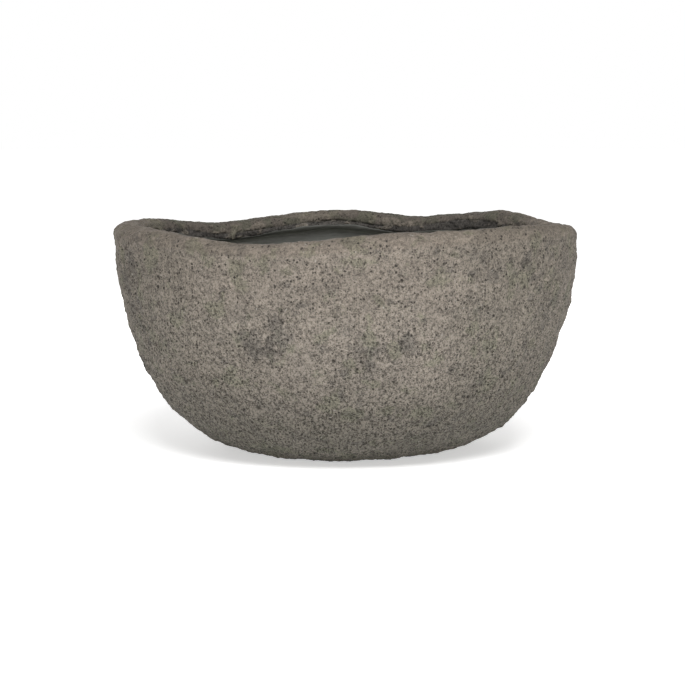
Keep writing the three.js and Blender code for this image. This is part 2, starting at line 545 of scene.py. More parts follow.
class TurnedSkin:
    """A closed outline turned about Z into a grid of rows and columns that can take relief.

    Attributes:
        MAP_NAME: The bake map's name.
        MAP_BANDS: How many stacked bands the map has, each an equal part of the turn.
        MAP_MARGIN: The share of a band that is left free along each edge.
    """

    MAP_NAME = "OFBake"
    MAP_BANDS = 2
    MAP_MARGIN = 0.004

    def __init__(self, outline: np.ndarray, columns: int) -> None:
        """Turns an outline.

        Args:
            outline: Its points, anticlockwise, with the first not repeated.
            columns: How many facets go round.
        """
        self.outline = outline
        self.rows = len(outline)
        self.columns = columns
        self.bearings = np.tile(np.arange(columns) * FULL_TURN / columns, self.rows)
        ring = np.concatenate([outline[-1:], outline, outline[:1]])
        self.row_normals = -left_of(ring)[1:-1]
        self.places = self.around(self.per_row(outline))
        self.normals = self.around(self.per_row(self.row_normals))

    def around(self, pairs: np.ndarray) -> np.ndarray:
        """Turns every grid point to its own bearing.

        Args:
            pairs: The radius and height of every grid point.

        Returns:
            A vector for each of them.
        """
        x = pairs[:, 0] * np.cos(self.bearings)
        y = pairs[:, 0] * np.sin(self.bearings)
        return np.stack([x, y, pairs[:, 1]], axis=1)

    def per_row(self, values: np.ndarray) -> np.ndarray:
        """Gives every grid point its row's value."""
        return np.repeat(values, self.columns, axis=0)

    def lengths(self) -> np.ndarray:
        """Gives how far along the outline each row lies."""
        return np.concatenate([[0.0], np.cumsum(self.spacing())[:-1]])

    def unrolled(self, stretch: float) -> np.ndarray:
        """Gives coordinates that run round the piece and up its wall.

        Args:
            stretch: How much longer than wide a pattern becomes up the wall.

        Returns:
            Coordinates for each grid point, with the distance up the wall along Z.
        """
        girth = np.full(self.rows * self.columns, np.max(self.outline[:, 0]))
        up = self.per_row(self.lengths()) / stretch
        return self.around(np.stack([girth, up], axis=1))

    def slide(self, shift: np.ndarray) -> None:
        """Moves the grid points along the outline.

        Args:
            shift: How far each of them moves.
        """
        lengths = self.lengths()
        moved = self.per_row(lengths) + shift
        for name, rows in (("places", self.outline), ("normals", self.row_normals)):
            pairs = [np.interp(moved, lengths, rows[:, axis]) for axis in range(2)]
            setattr(self, name, self.around(np.stack(pairs, axis=1)))

    def faces(self) -> np.ndarray:
        """Gives the grid points of each quad.

        Returns:
            Four numbers for each quad, in the order that makes it face out.
        """
        row = np.arange(self.rows)[:, None]
        column = np.arange(self.columns)[None, :]
        up, on = (row + 1) % self.rows, (column + 1) % self.columns
        corners = [(row, column), (row, on), (up, on), (up, column)]
        return np.stack([r * self.columns + c for r, c in corners], axis=-1).reshape(-1, 4)

    def bake_map(self, stretch: np.ndarray) -> np.ndarray:
        """Lays the skin flat as stacked bands.

        Args:
            stretch: How much of the map's height each row's quads take, before scaling.

        Returns:
            A map place for each corner of each quad.
        """
        width = self.columns // self.MAP_BANDS
        kept = 1 - 2 * self.MAP_MARGIN
        heights = np.concatenate([[0.0], np.cumsum(stretch)]) / np.sum(stretch)
        row = np.arange(self.rows)[:, None]
        column = np.arange(self.columns)[None, :]
        corners = []
        for up, on in ((0, 0), (0, 1), (1, 1), (1, 0)):
            across = (column % width + on) / width
            along = heights[row + up] + 0 * column
            u = self.MAP_MARGIN + kept * across + 0 * row
            v = (column // width + self.MAP_MARGIN + kept * along) / self.MAP_BANDS
            corners.append(np.stack([u, v], axis=-1))
        return np.stack(corners, axis=2).reshape(-1, 2)

    def spacing(self) -> np.ndarray:
        """Gives the length of each row's quads along the outline."""
        return np.linalg.norm(np.roll(self.outline, -1, axis=0) - self.outline, axis=1)

    def as_object(self, name: str, places: np.ndarray, stretch: np.ndarray,
                  readings: dict[str, np.ndarray]) -> bpy.types.Object:
        """Makes the mesh object.

        Args:
            name: What the piece is called.
            places: Where each grid point lies.
            stretch: As for bake_map.
            readings: Named numbers or vectors at each grid point, which a finish can read.

        Returns:
            The object, linked to the scene.
        """
        quads = self.faces()
        mesh = bpy.data.meshes.new(name)
        mesh.vertices.add(len(places))
        mesh.vertices.foreach_set("co", places.astype(np.float32).ravel())
        mesh.loops.add(quads.size)
        mesh.loops.foreach_set("vertex_index", quads.astype(np.int32).ravel())
        mesh.polygons.add(len(quads))
        mesh.polygons.foreach_set("loop_start", np.arange(0, quads.size, 4, dtype=np.int32))
        mesh.polygons.foreach_set("use_smooth", np.ones(len(quads), dtype=bool))
        mesh.update(calc_edges=True)
        layer = mesh.uv_layers.new(name=self.MAP_NAME)
        layer.uv.foreach_set("vector", self.bake_map(stretch).astype(np.float32).ravel())
        for label, values in readings.items():
            kind, field = ("FLOAT", "value") if values.ndim == 1 else ("FLOAT_VECTOR", "vector")
            data = mesh.attributes.new(label, kind, "POINT").data
            data.foreach_set(field, values.astype(np.float32).ravel())
        piece = bpy.data.objects.new(name, mesh)
        bpy.context.scene.collection.objects.link(piece)
        return piece


class Step(NamedTuple):
    """A smooth step from one value to another.

    Attributes:
        start: Where it leaves low.
        end: Where it reaches high, which may lie below start.
        low: The result before start.
        high: The result after end.
    """

    start: float
    end: float
    low: float = 0.0
    high: float = 1.0


class Clouds(NamedTuple):
    """Cloudy noise.

    Attributes:
        size: How far apart its clouds lie.
        detail: How many finer octaves it has.
        rough: How strong those are.
        shift: Its place along a fourth axis, which sets fields of a size apart.
    """

    size: float
    detail: float
    rough: float
    shift: float


class Patches(NamedTuple):
    """Soft patches: clouds that are read through a step.

    Attributes:
        clouds: The clouds.
        step: The step.
    """

    clouds: Clouds
    step: Step


class Pores(NamedTuple):
    """One kind of open pore.

    Attributes:
        spacing: How far apart they lie.
        radius: The largest radius, as a share of that.
        share: How many of the places that may have one do.
        strength: How much painted shade they get.
    """

    spacing: float
    radius: float
    share: float
    strength: float


class Recipe:
    """A node material being written, for patterns in the piece's own coordinates."""

    def __init__(self, name: str) -> None:
        """Starts an empty material.

        Args:
            name: What the material is called.
        """
        self.material = bpy.data.materials.new(name)
        self.material.use_nodes = True
        self.tree = self.material.node_tree
        self.tree.nodes.clear()
        self.surface = self.tree.nodes.new("ShaderNodeBsdfPrincipled")
        output = self.tree.nodes.new("ShaderNodeOutputMaterial")
        self.tree.links.new(self.surface.outputs["BSDF"], output.inputs["Surface"])
        self.place = self.tree.nodes.new("ShaderNodeTexCoord").outputs["Object"]

    def feed(self, socket: Socket, value: object) -> None:
        """Links or sets a socket.

        Args:
            socket: The socket.
            value: Another socket, a number, a vector or a colour.
        """
        if isinstance(value, Socket):
            self.tree.links.new(value, socket)
        elif isinstance(value, tuple) and len(value) == 3 and socket.type == "RGBA":
            socket.default_value = (*value, 1.0)
        else:
            socket.default_value = value

    def stretched(self, scale: Point) -> Socket:
        """Scales the piece's coordinates.

        Args:
            scale: A factor for each axis.

        Returns:
            The coordinates.
        """
        node = self.tree.nodes.new("ShaderNodeMapping")
        self.feed(node.inputs["Vector"], self.place)
        self.feed(node.inputs["Scale"], tuple(scale))
        return node.outputs["Vector"]

    def distance(self, point: Point) -> Socket:
        """Measures how far each place lies from a point.

        Args:
            point: The point, in the piece's coordinates.

        Returns:
            The distance.
        """
        node = self.tree.nodes.new("ShaderNodeVectorMath")
        node.operation = "DISTANCE"
        self.feed(node.inputs[0], self.place)
        self.feed(node.inputs[1], tuple(point))
        return node.outputs["Value"]

    def clouds(self, kind: Clouds, where: Socket | None = None) -> Socket:
        """Adds cloudy noise.

        Args:
            kind: Which clouds.
            where: Coordinates other than the piece's own.

        Returns:
            Its value, around 0.5.
        """
        node = self.tree.nodes.new("ShaderNodeTexNoise")
        node.noise_dimensions = "4D"
        self.feed(node.inputs["Vector"], where or self.place)
        self.feed(node.inputs["W"], kind.shift)
        self.feed(node.inputs["Scale"], 1.0 / kind.size)
        self.feed(node.inputs["Detail"], kind.detail)
        self.feed(node.inputs["Roughness"], kind.rough)
        return next(s for s in node.outputs if s.identifier in ("Fac", "Factor"))

    def patches(self, kind: Patches, where: Socket | None = None) -> Socket:
        """Adds soft patches, in the piece's coordinates or in others."""
        return self.rise(self.clouds(kind.clouds, where), *kind.step)

    def wavering(self, size: float, reach: float) -> Socket:
        """Gives the piece's coordinates pushed about at random.

        Args:
            size: How far apart the pushes change.
            reach: How far they push.

        Returns:
            The coordinates.
        """
        noise = self.tree.nodes.new("ShaderNodeTexNoise")
        self.feed(noise.inputs["Vector"], self.place)
        self.feed(noise.inputs["Scale"], 1.0 / size)
        push = self.tree.nodes.new("ShaderNodeVectorMath")
        push.operation = "MULTIPLY_ADD"
        self.feed(push.inputs[0], noise.outputs["Color"])
        self.feed(push.inputs[1], (reach, reach, reach))
        self.feed(push.inputs[2], self.place)
        return push.outputs["Vector"]

    def cells(self, size: float, where: Socket) -> tuple[Socket, Socket]:
        """Adds random cells.

        Args:
            size: How far apart their centres lie.
            where: The coordinates that they lie in.

        Returns:
            The distance to the nearest centre, in cells, and that cell's random colour.
        """
        node = self.tree.nodes.new("ShaderNodeTexVoronoi")
        self.feed(node.inputs["Vector"], where)
        self.feed(node.inputs["Scale"], 1.0 / size)
        return node.outputs["Distance"], node.outputs["Color"]

    def maths(self, operation: str, *values: object) -> Socket:
        """Combines numbers.

        Args:
            operation: The name of the operation.
            values: Numbers or sockets.

        Returns:
            The result.
        """
        node = self.tree.nodes.new("ShaderNodeMath")
        node.operation = operation
        for socket, value in zip(node.inputs, values, strict=False):
            self.feed(socket, value)
        return node.outputs["Value"]

    def times(self, value: object, factor: object) -> Socket:
        """Multiplies two numbers."""
        return self.maths("MULTIPLY", value, factor)

    def plus(self, value: object, more: object) -> Socket:
        """Adds two numbers."""
        return self.maths("ADD", value, more)

    def pushed(self, value: object, push: object, factor: float) -> Socket:
        """Adds a share of one number to another."""
        return self.maths("MULTIPLY_ADD", push, factor, value)

    def most(self, value: object, other: object) -> Socket:
        """Gives the larger of two numbers."""
        return self.maths("MAXIMUM", value, other)

    def centred(self, kind: Clouds, where: Socket | None = None) -> Socket:
        """Adds cloudy noise around 0."""
        return self.maths("SUBTRACT", self.clouds(kind, where), 0.5)

    def rise(self, value: Socket, start: object, end: float, low: float = 0.0,
             high: float = 1.0) -> Socket:
        """Turns a value into a smooth step.

        Args:
            value: What is read.
            start: Where the step leaves low.
            end: Where it reaches high.
            low: The result before start.
            high: The result after end.

        Returns:
            The result.
        """
        node = self.tree.nodes.new("ShaderNodeMapRange")
        node.interpolation_type = "SMOOTHSTEP"
        labels = ("Value", "From Min", "From Max", "To Min", "To Max")
        for label, number in zip(labels, (value, start, end, low, high), strict=True):
            self.feed(node.inputs[label], number)
        return node.outputs["Result"]

    def blend(self, share: object, under: object, over: object, way: str = "MIX") -> Socket:
        """Lays one colour over another.

        Args:
            share: How much of it is laid.
            under: The colour below.
            over: The colour above.
            way: How they combine.

        Returns:
            The colour that results.
        """
        node = self.tree.nodes.new("ShaderNodeMix")
        node.data_type = "RGBA"
        node.blend_type = way
        sockets = {s.identifier: s for s in node.inputs}
        self.feed(sockets["Factor_Float"], share)
        self.feed(sockets["A_Color"], under)
        self.feed(sockets["B_Color"], over)
        return next(s for s in node.outputs if s.identifier == "Result_Color")

    def toned(self, colour: object, tone: object) -> Socket:
        """Multiplies a colour by another colour or by a number."""
        return self.blend(1.0, colour, tone, "MULTIPLY")

    def reading(self, label: str, output: str = "Fac") -> Socket:
        """Reads what the mesh holds at each point.

        Args:
            label: What it is called.
            output: Fac for a number, Vector for a vector.

        Returns:
            The number or vector.
        """
        node = self.tree.nodes.new("ShaderNodeAttribute")
        node.attribute_name = label
        return node.outputs[output]

    def along(self, vector: Socket, axis: int) -> Socket:
        """Takes one number of a vector.

        Args:
            vector: The vector.
            axis: 0, 1 or 2.

        Returns:
            The number along that axis.
        """
        node = self.tree.nodes.new("ShaderNodeSeparateXYZ")
        self.feed(node.inputs["Vector"], vector)
        return node.outputs[axis]

    def bump(self, height: Socket, depth: float, strength: float = 1.0) -> Socket:
        """Adds fine relief.

        Args:
            height: From 0 to 1.
            depth: How deep a height of 1 is.
            strength: How much of it is felt.

        Returns:
            The normal that results.
        """
        node = self.tree.nodes.new("ShaderNodeBump")
        self.feed(node.inputs["Height"], height)
        self.feed(node.inputs["Distance"], depth)
        self.feed(node.inputs["Strength"], strength)
        return node.outputs["Normal"]

    def finish(self, **sockets: object) -> bpy.types.Material:
        """Feeds the surface's sockets.

        Args:
            sockets: A value for each, named with _ for spaces.

        Returns:
            The material.
        """
        for label, value in sockets.items():
            self.feed(self.surface.inputs[label.replace("_", " ")], value)
        return self.material


@dataclass(frozen=True)
class CastConcrete:
    """Rough cast concrete: warm grey paste, coarse grain, open pores, damp patches and pale sand.

    Attributes:
        paste: The dry paste.
        chalky: The paste where the fines have come to its surface.
        weathered: The paste where rain and handling have darkened it.
        damp: Purplish grey patches.
        mossy: Olive patches.
        foot_shade_and_dirt: What the colour is multiplied by near the foot: painted shade that
            darkens it towards the bottom, with a little real dirt.
        foot_rim: The lowest edge, where the mould's oil has stained it.
        foot_ring: The ring that the mould's base plate left below that.
        trowelled_tone_and_shade: What the colour is multiplied by on the smoothed places: partly
            their own warmer tone, partly painted shade that keeps the band below the crest from
            turning brighter in the front light.
        pore: Inside the pores and the mesh's own pits: painted shade.
        sand: Pale grains.
        stain: The old stain on the lip's inner side.
        olive_stain: The same where it is greener.
        under_crease_tone: The darker colour of the rough band below the crease there.
        dry_spot: The middle of the driest side.
        dry_reach: The distance from there past which nothing gets more weathered.
        dry_edge: How the weathering rises with that distance.
        drift: The clouds that push the distance about.
        drift_push: How far they push it.
        chalk: Where the paste is chalky.
        moss: Where it is mossy.
        bruise: Where it is damp.
        marks: The clouds that dark marks break up into.
        mark_push: How much the mesh's own marks add to them.
        mark_edge: Where the two together make a mark.
        mark_damp: How damp a mark is.
        strokes: The trowel's strokes on the smoothed band, as a brightness.
        stroke_squeeze: How much shorter than wide they are, along each axis.
        foot_shade: How the foot's tone comes in with the height.
        foot_fray: The clouds that fray the oil stain's upper edge.
        fray_reach: How far they push it.
        oil_edge: How the oil stain comes in with the frayed height.
        ring_edge: How the ring comes in with the height.
        grain: The sand in the paste.
        grain_share: How much it shows.
        lumps: The lumps that it gathers in.
        lump_share: How much they show.
        smooth_speckle: How much of both is left on smooth places.
        low_speckle: How both grow coarser towards the foot.
        shade: How both turn into brightness.
        sand_grains: Where pale grains lie.
        green: Where the stain is greener.
        stain_shade: How the brightness is passed on to the stain.
        crowd_push: How much weathered paste adds to the crowding of pores.
        crowding: How the marks turn into crowding.
        smooth_crowd: How much of it is left on smooth places.
        common: The common pores.
        pricks: The smallest pores.
        larger: The larger pores.
        ragged_size: The pushes on a pore's outline, as a share of the pores' spacing.
        ragged_reach: How far those push it, likewise.
        pore_edge: How sharp a pore's edge is.
        eaten: The shapeless hollows that weather ate, which get the pores' painted shade.
        eaten_share: How many of them there are where pores crowd.
        pit_shade: How much painted shade the mesh's own pits get.
        dust: The clouds of dust.
        roughness: How they turn into roughness.
        shine: The specular level.
        relief_depth: How deep a relief of 1 is.
        pore_relief: The pores' share of the relief.
        grain_relief: The grain's share of it.
        dust_relief: The dust's share of it.
    """

    paste: Colour = (0.167, 0.147, 0.1240)
    chalky: Colour = (0.188, 0.165, 0.1385)
    weathered: Colour = (0.156, 0.1382, 0.1148)
    damp: Colour = (0.088, 0.081, 0.072)
    mossy: Colour = (0.142, 0.135, 0.101)
    foot_shade_and_dirt: Colour = (0.675, 0.695, 0.69)
    foot_rim: Colour = (0.088, 0.080, 0.060)
    foot_ring: Colour = (0.078, 0.078, 0.079)
    trowelled_tone_and_shade: Colour = (0.812, 0.783, 0.768)
    pore: Colour = (0.018, 0.016, 0.014)
    sand: Colour = (0.33, 0.31, 0.28)
    stain: Colour = (0.086, 0.0735, 0.0625)
    olive_stain: Colour = (0.080, 0.076, 0.058)
    under_crease_tone: Colour = (0.057, 0.0525, 0.049)
    dry_spot: tuple[float, float, float] = (-5 * MM, -285 * MM, 205 * MM)
    dry_reach: float = 200 * MM
    dry_edge: Step = Step(90 * MM, 210 * MM)
    drift: Clouds = Clouds(75 * MM, 4.0, 0.6, 1.0)
    drift_push: float = 440 * MM
    chalk: Patches = Patches(Clouds(28 * MM, 3.0, 0.55, 2.5), Step(0.42, 0.62))
    moss: Patches = Patches(Clouds(31 * MM, 3.0, 0.6, 3.0), Step(0.53, 0.61, 0.0, 0.75))
    bruise: Patches = Patches(Clouds(37 * MM, 4.0, 0.6, 5.0), Step(0.55, 0.68, 0.0, 0.3))
    marks: Clouds = Clouds(17 * MM, 4.0, 0.62, 2.0)
    mark_push: float = 0.15
    mark_edge: Step = Step(0.54, 0.68)
    mark_damp: float = 0.55
    strokes: Patches = Patches(Clouds(26 * MM, 4.0, 0.65, 7.0), Step(0.35, 0.65, 0.87, 1.14))
    stroke_squeeze: tuple[float, float, float] = (1.0, 1.0, 5.0)
    foot_shade: Step = Step(150 * MM, 20 * MM)
    foot_fray: Clouds = Clouds(30 * MM, 3.0, 0.6, 8.0)
    fray_reach: float = 24 * MM
    oil_edge: Step = Step(30 * MM, 15 * MM, 0.0, 0.75)
    ring_edge: Step = Step(5 * MM, 2 * MM, 0.0, 0.8)
    grain: Clouds = Clouds(1.9 * MM, 2.0, 0.75, 4.0)
    grain_share: float = 1.18
    lumps: Clouds = Clouds(3.5 * MM, 1.5, 0.6, 4.5)
    lump_share: float = 0.66
    smooth_speckle: Step = Step(0.0, 1.0, 1.0, 0.62)
    low_speckle: Step = Step(220 * MM, 60 * MM, 1.0, 1.45)
    shade: Step = Step(-0.30, 0.23, 0.38, 1.45)
    sand_grains: Patches = Patches(Clouds(3.1 * MM, 1.0, 0.5, 6.0), Step(0.70, 0.76, 0.0, 0.5))
    green: Patches = Patches(Clouds(24 * MM, 3.0, 0.6, 9.5), Step(0.44, 0.56))
    stain_shade: Step = Step(0.3, 1.7, 0.6, 1.4)
    crowd_push: float = 0.12
    crowding: Step = Step(0.38, 0.66, 0.2, 1.0)
    smooth_crowd: Step = Step(0.0, 1.0, 1.0, 0.5)
    common: Pores = Pores(3.7 * MM, 0.42, 0.7, 0.81)
    pricks: Pores = Pores(2.5 * MM, 0.40, 0.6, 0.65)
    larger: Pores = Pores(13 * MM, 0.15, 0.5, 0.95)
    ragged_size: float = 0.6
    ragged_reach: float = 0.7
    pore_edge: Step = Step(-0.05, 0.07)
    eaten: Patches = Patches(Clouds(4.2 * MM, 2.0, 0.75, 10.0), Step(0.405, 0.345))
    eaten_share: Step = Step(0.2, 0.8, 0.1, 0.8)
    pit_shade: float = 0.74
    dust: Clouds = Clouds(9 * MM, 3.0, 0.6, 9.0)
    roughness: Step = Step(0.3, 0.7, 0.84, 0.97)
    shine: float = 0.25
    relief_depth: float = 1.0 * MM
    pore_relief: float = 0.7
    grain_relief: float = 0.9
    dust_relief: float = 0.8

    def weathering(self, recipe: Recipe) -> Socket:
        """Gives the share of weathered paste, which is least round the dry spot.

        Args:
            recipe: The material.

        Returns:
            The share.
        """
        near = recipe.maths("MINIMUM", recipe.distance(self.dry_spot), self.dry_reach)
        pushed = recipe.pushed(near, recipe.centred(self.drift), self.drift_push)
        return recipe.rise(pushed, *self.dry_edge)

    def ground(self, recipe: Recipe, mark: Socket, weathered: Socket) -> Socket:
        """Mixes the paste's own colours.

        Args:
            recipe: The material.
            mark: Where the dark marks are.
            weathered: The share of weathered paste.

        Returns:
            The colour, before grain and pores.
        """
        dry = recipe.blend(recipe.patches(self.chalk), self.paste, self.chalky)
        colour = recipe.blend(weathered, dry, self.weathered)
        colour = recipe.blend(recipe.patches(self.moss), colour, self.mossy)
        wet = recipe.most(recipe.patches(self.bruise), recipe.times(mark, self.mark_damp))
        colour = recipe.blend(wet, colour, self.damp)
        strokes = recipe.patches(self.strokes, recipe.stretched(self.stroke_squeeze))
        # The smoothed places are toned down: partly their warmer tone, partly painted shade against
        # the front light on the band below the crest.
        trowelled = recipe.toned(recipe.toned(colour, self.trowelled_tone_and_shade), strokes)
        colour = recipe.blend(recipe.reading("smooth"), colour, trowelled)
        height = recipe.along(recipe.place, 2)
        # Darker towards the foot: painted shade, with a little real dirt.
        low = recipe.toned(colour, self.foot_shade_and_dirt)
        colour = recipe.blend(recipe.rise(height, *self.foot_shade), colour, low)
        frayed = recipe.pushed(height, recipe.clouds(self.foot_fray), self.fray_reach)
        colour = recipe.blend(recipe.rise(frayed, *self.oil_edge), colour, self.foot_rim)
        return recipe.blend(recipe.rise(height, *self.ring_edge), colour, self.foot_ring)

    def speckled(self, recipe: Recipe) -> Socket:
        """Gives the grain and its lumps, around 0.

        Args:
            recipe: The material.

        Returns:
            Their value, negative where they are dark.
        """
        grain = recipe.times(recipe.centred(self.grain), self.grain_share)
        lumps = recipe.centred(self.lumps, recipe.reading("wall", "Vector"))
        speckle = recipe.pushed(grain, lumps, self.lump_share)
        kept = recipe.rise(recipe.reading("smooth"), *self.smooth_speckle)
        coarser = recipe.rise(recipe.along(recipe.place, 2), *self.low_speckle)
        return recipe.times(recipe.times(speckle, kept), coarser)

    def stained(self, recipe: Recipe, shade: Socket) -> Socket:
        """Mixes the stain on the lip's inner side.

        Args:
            recipe: The material.
            shade: The grain's brightness.

        Returns:
            The colour.
        """
        old = recipe.blend(recipe.patches(self.green), self.stain, self.olive_stain)
        # Darker below the crease.
        dark = recipe.blend(recipe.reading("under"), old, self.under_crease_tone)
        return recipe.toned(dark, recipe.rise(shade, *self.stain_shade))

    def scattered(self, recipe: Recipe, kind: Pores, crowd: Socket) -> Socket:
        """Scatters pores of mixed sizes and ragged outline.

        Args:
            recipe: The material.
            kind: Which pores.
            crowd: How many of the places may have one.

        Returns:
            How much painted shade each place gets, 0 outside the pores.
        """
        size = kind.spacing
        ragged = recipe.wavering(self.ragged_size * size, self.ragged_reach * size)
        distance, colour = recipe.cells(size, ragged)
        missing = recipe.maths("SUBTRACT", 1.0, recipe.times(crowd, kind.share))
        width = recipe.times(recipe.rise(recipe.along(colour, 0), missing, 1.0), kind.radius)
        inside = recipe.rise(recipe.maths("SUBTRACT", width, distance), *self.pore_edge)
        return recipe.times(inside, kind.strength)

    def open_pores(self, recipe: Recipe, crowd: Socket) -> Socket:
        """Gathers the pores of every kind and the hollows that weather ate.

        Args:
            recipe: The material.
            crowd: How many of the places may have one.

        Returns:
            How much painted shade each place gets, 0 outside them all.
        """
        eaten = recipe.times(recipe.patches(self.eaten), recipe.rise(crowd, *self.eaten_share))
        found = recipe.times(eaten, self.common.strength)
        for kind in (self.common, self.pricks, self.larger):
            found = recipe.most(found, self.scattered(recipe, kind, crowd))
        return found

    def make(self) -> bpy.types.Material:
        """Writes the material.

        Returns:
            The material, which reads what the casting's mesh holds: pit, stain, under, smooth,
            weather and wall.
        """
        recipe = Recipe("cast_concrete")
        weathered = self.weathering(recipe)
        spread = recipe.pushed(recipe.clouds(self.marks), recipe.reading("weather"), self.mark_push)
        speckle = self.speckled(recipe)
        shade = recipe.rise(speckle, *self.shade)
        ground = self.ground(recipe, recipe.rise(spread, *self.mark_edge), weathered)
        colour = recipe.toned(ground, shade)
        colour = recipe.blend(recipe.patches(self.sand_grains), colour, self.sand)
        colour = recipe.blend(recipe.reading("stain"), colour, self.stained(recipe, shade))
        crowd = recipe.rise(recipe.pushed(spread, weathered, self.crowd_push), *self.crowding)
        crowd = recipe.times(crowd, recipe.rise(recipe.reading("smooth"), *self.smooth_crowd))
        pores = self.open_pores(recipe, crowd)
        # Pores, eaten hollows and the mesh's own pits are darkened: painted shade in the recesses.
        colour = recipe.blend(pores, colour, self.pore)
        colour = recipe.blend(recipe.times(recipe.reading("pit"), self.pit_shade), colour, self.pore)
        dust = recipe.clouds(self.dust)
        relief = recipe.times(recipe.maths("SUBTRACT", 1.0, pores), self.pore_relief)
        relief = recipe.plus(relief, recipe.times(speckle, self.grain_relief))
        relief = recipe.plus(relief, recipe.times(dust, self.dust_relief))
        return recipe.finish(
            Base_Color=colour,
            Roughness=recipe.rise(dust, *self.roughness),
            Specular_IOR_Level=self.shine,
            Normal=recipe.bump(relief, self.relief_depth),
        )


@dataclass(frozen=True)
class BrushedResin:
    """The lining's finish: a dark grey-green laminate, brushed on over chopped strand.

    Attributes:
        body: The main colour.
        worn: The colour where the brush left it thin.
        strand: The strands that show through.
        grime_and_shade_tone: Dirt along the upper edge, and painted shade in a band below the
            hollow under the lip.
        pale_light_tone: A pale colour in the hollow under the lip and down the wall below it:
            painted light that lifts the shade there.
        thin: Where the brush left it thin.
        strands: The strands.
        strand_edge: How they show.
        strand_squeeze: How much shorter than wide they are, along each axis.
        strokes: The brush strokes.
        stroke_squeeze: How much shorter than wide they are, along each axis.
        stroke_shade: How they turn into brightness.
        roughness: How they turn into roughness.
        cover: How much of the resin the pale painted light, the dirt and the painted shade cover at
            full strength.
        shine: The specular level.
        strand_relief: The strands' share of the relief.
        relief_depth: How deep a relief of 1 is.
        relief_strength: How much of it is felt.
    """

    body: Colour = (0.064, 0.065, 0.057)
    worn: Colour = (0.090, 0.091, 0.080)
    strand: Colour = (0.112, 0.112, 0.100)
    grime_and_shade_tone: Colour = (0.064, 0.064, 0.055)
    pale_light_tone: Colour = (0.290, 0.290, 0.258)
    thin: Patches = Patches(Clouds(60 * MM, 4.0, 0.6, 1.0), Step(0.4, 0.66))
    strands: Clouds = Clouds(7 * MM, 2.0, 0.7, 3.0)
    strand_edge: Step = Step(0.56, 0.66, 0.0, 0.35)
    strand_squeeze: tuple[float, float, float] = (0.35, 2.2, 2.2)
    strokes: Clouds = Clouds(10 * MM, 3.0, 0.6, 2.0)
    stroke_squeeze: tuple[float, float, float] = (1.0, 1.0, 7.0)
    stroke_shade: Step = Step(0.3, 0.7, 0.88, 1.12)
    roughness: Step = Step(0.3, 0.7, 0.5, 0.68)
    cover: float = 0.85
    shine: float = 0.4
    strand_relief: float = 0.6
    relief_depth: float = 0.5 * MM
    relief_strength: float = 0.7

    def make(self) -> bpy.types.Material:
        """Writes the material.

        Returns:
            The material, which reads what the lining's mesh holds: the pale painted light, and the
            dirt and painted shade.
        """
        recipe = Recipe("brushed_resin")
        strokes = recipe.clouds(self.strokes, recipe.stretched(self.stroke_squeeze))
        strands = recipe.clouds(self.strands, recipe.stretched(self.strand_squeeze))
        colour = recipe.blend(recipe.patches(self.thin), self.body, self.worn)
        colour = recipe.blend(recipe.rise(strands, *self.strand_edge), colour, self.strand)
        # Lays the pale painted light, then the edge's dirt and the painted shade below the hollow.
        for label, tone in (("dust", self.pale_light_tone), ("grime_and_shade", self.grime_and_shade_tone)):
            colour = recipe.blend(recipe.times(recipe.reading(label), self.cover), colour, tone)
        height = recipe.plus(strokes, recipe.times(strands, self.strand_relief))
        return recipe.finish(
            Base_Color=recipe.toned(colour, recipe.rise(strokes, *self.stroke_shade)),
            Roughness=recipe.rise(strokes, *self.roughness),
            Specular_IOR_Level=self.shine,
            Normal=recipe.bump(height, self.relief_depth, self.relief_strength),
        )


@dataclass(frozen=True)
class MouldedRubber:
    """The stopper's finish: black moulded rubber with a bloom of dust.

    Attributes:
        body: The rubber.
        bloom: The dust.
        dust: The clouds of dust.
        bloom_edge: How they show.
        roughness: How they turn into roughness.
        skin: The mould's fine grain.
        shine: The specular level.
        relief_depth: How deep a relief of 1 is.
        relief_strength: How much of it is felt.
    """

    body: Colour = (0.012, 0.012, 0.013)
    bloom: Colour = (0.060, 0.058, 0.054)
    dust: Clouds = Clouds(6 * MM, 4.0, 0.65, 1.0)
    bloom_edge: Step = Step(0.45, 0.75, 0.0, 0.7)
    roughness: Step = Step(0.35, 0.7, 0.55, 0.85)
    skin: Clouds = Clouds(0.8 * MM, 2.0, 0.6, 2.0)
    shine: float = 0.4
    relief_depth: float = 0.15 * MM
    relief_strength: float = 0.6

    def make(self) -> bpy.types.Material:
        """Writes the material.

        Returns:
            The material.
        """
        recipe = Recipe("moulded_rubber")
        dust = recipe.clouds(self.dust)
        skin = recipe.clouds(self.skin)
        return recipe.finish(
            Base_Color=recipe.blend(recipe.rise(dust, *self.bloom_edge), self.body, self.bloom),
            Roughness=recipe.rise(dust, *self.roughness),
            Specular_IOR_Level=self.shine,
            Normal=recipe.bump(skin, self.relief_depth, self.relief_strength),
        )


@dataclass(frozen=True)
class PaleFloor:
    """The studio floor: a plain, pale and matte sheet that glows a little, though it is no lamp.

    Attributes:
        tone: Its colour.
        glow_tone: The colour of its glow.
        glow: How strongly it glows, from round the bowl to far away, where no lamp reaches: painted
            light that lifts the bowl's shadow and whitens the far floor.
    """

    tone: Colour = (0.90, 0.90, 0.90)
    glow_tone: Colour = (1.0, 1.0, 1.0)
    glow: Step = Step(0.3, 1.9, 0.50, 0.74)

    def make(self) -> bpy.types.Material:
        """Writes the material.

        Returns:
            The material.
        """
        recipe = Recipe("pale_floor")
        return recipe.finish(
            Base_Color=self.tone,
            Roughness=1.0,
            Specular_IOR_Level=0.0,
            # The glow is painted light: it lifts the shadow round the bowl and whitens the far
            # floor.
            Emission_Color=self.glow_tone,
            Emission_Strength=recipe.rise(recipe.distance((0.0, 0.0, 0.0)), *self.glow),
        )


def set_finish(piece: bpy.types.Object, material: bpy.types.Material) -> None:
    """Gives a piece its one material."""
    piece.data.materials.clear()
    piece.data.materials.append(material)


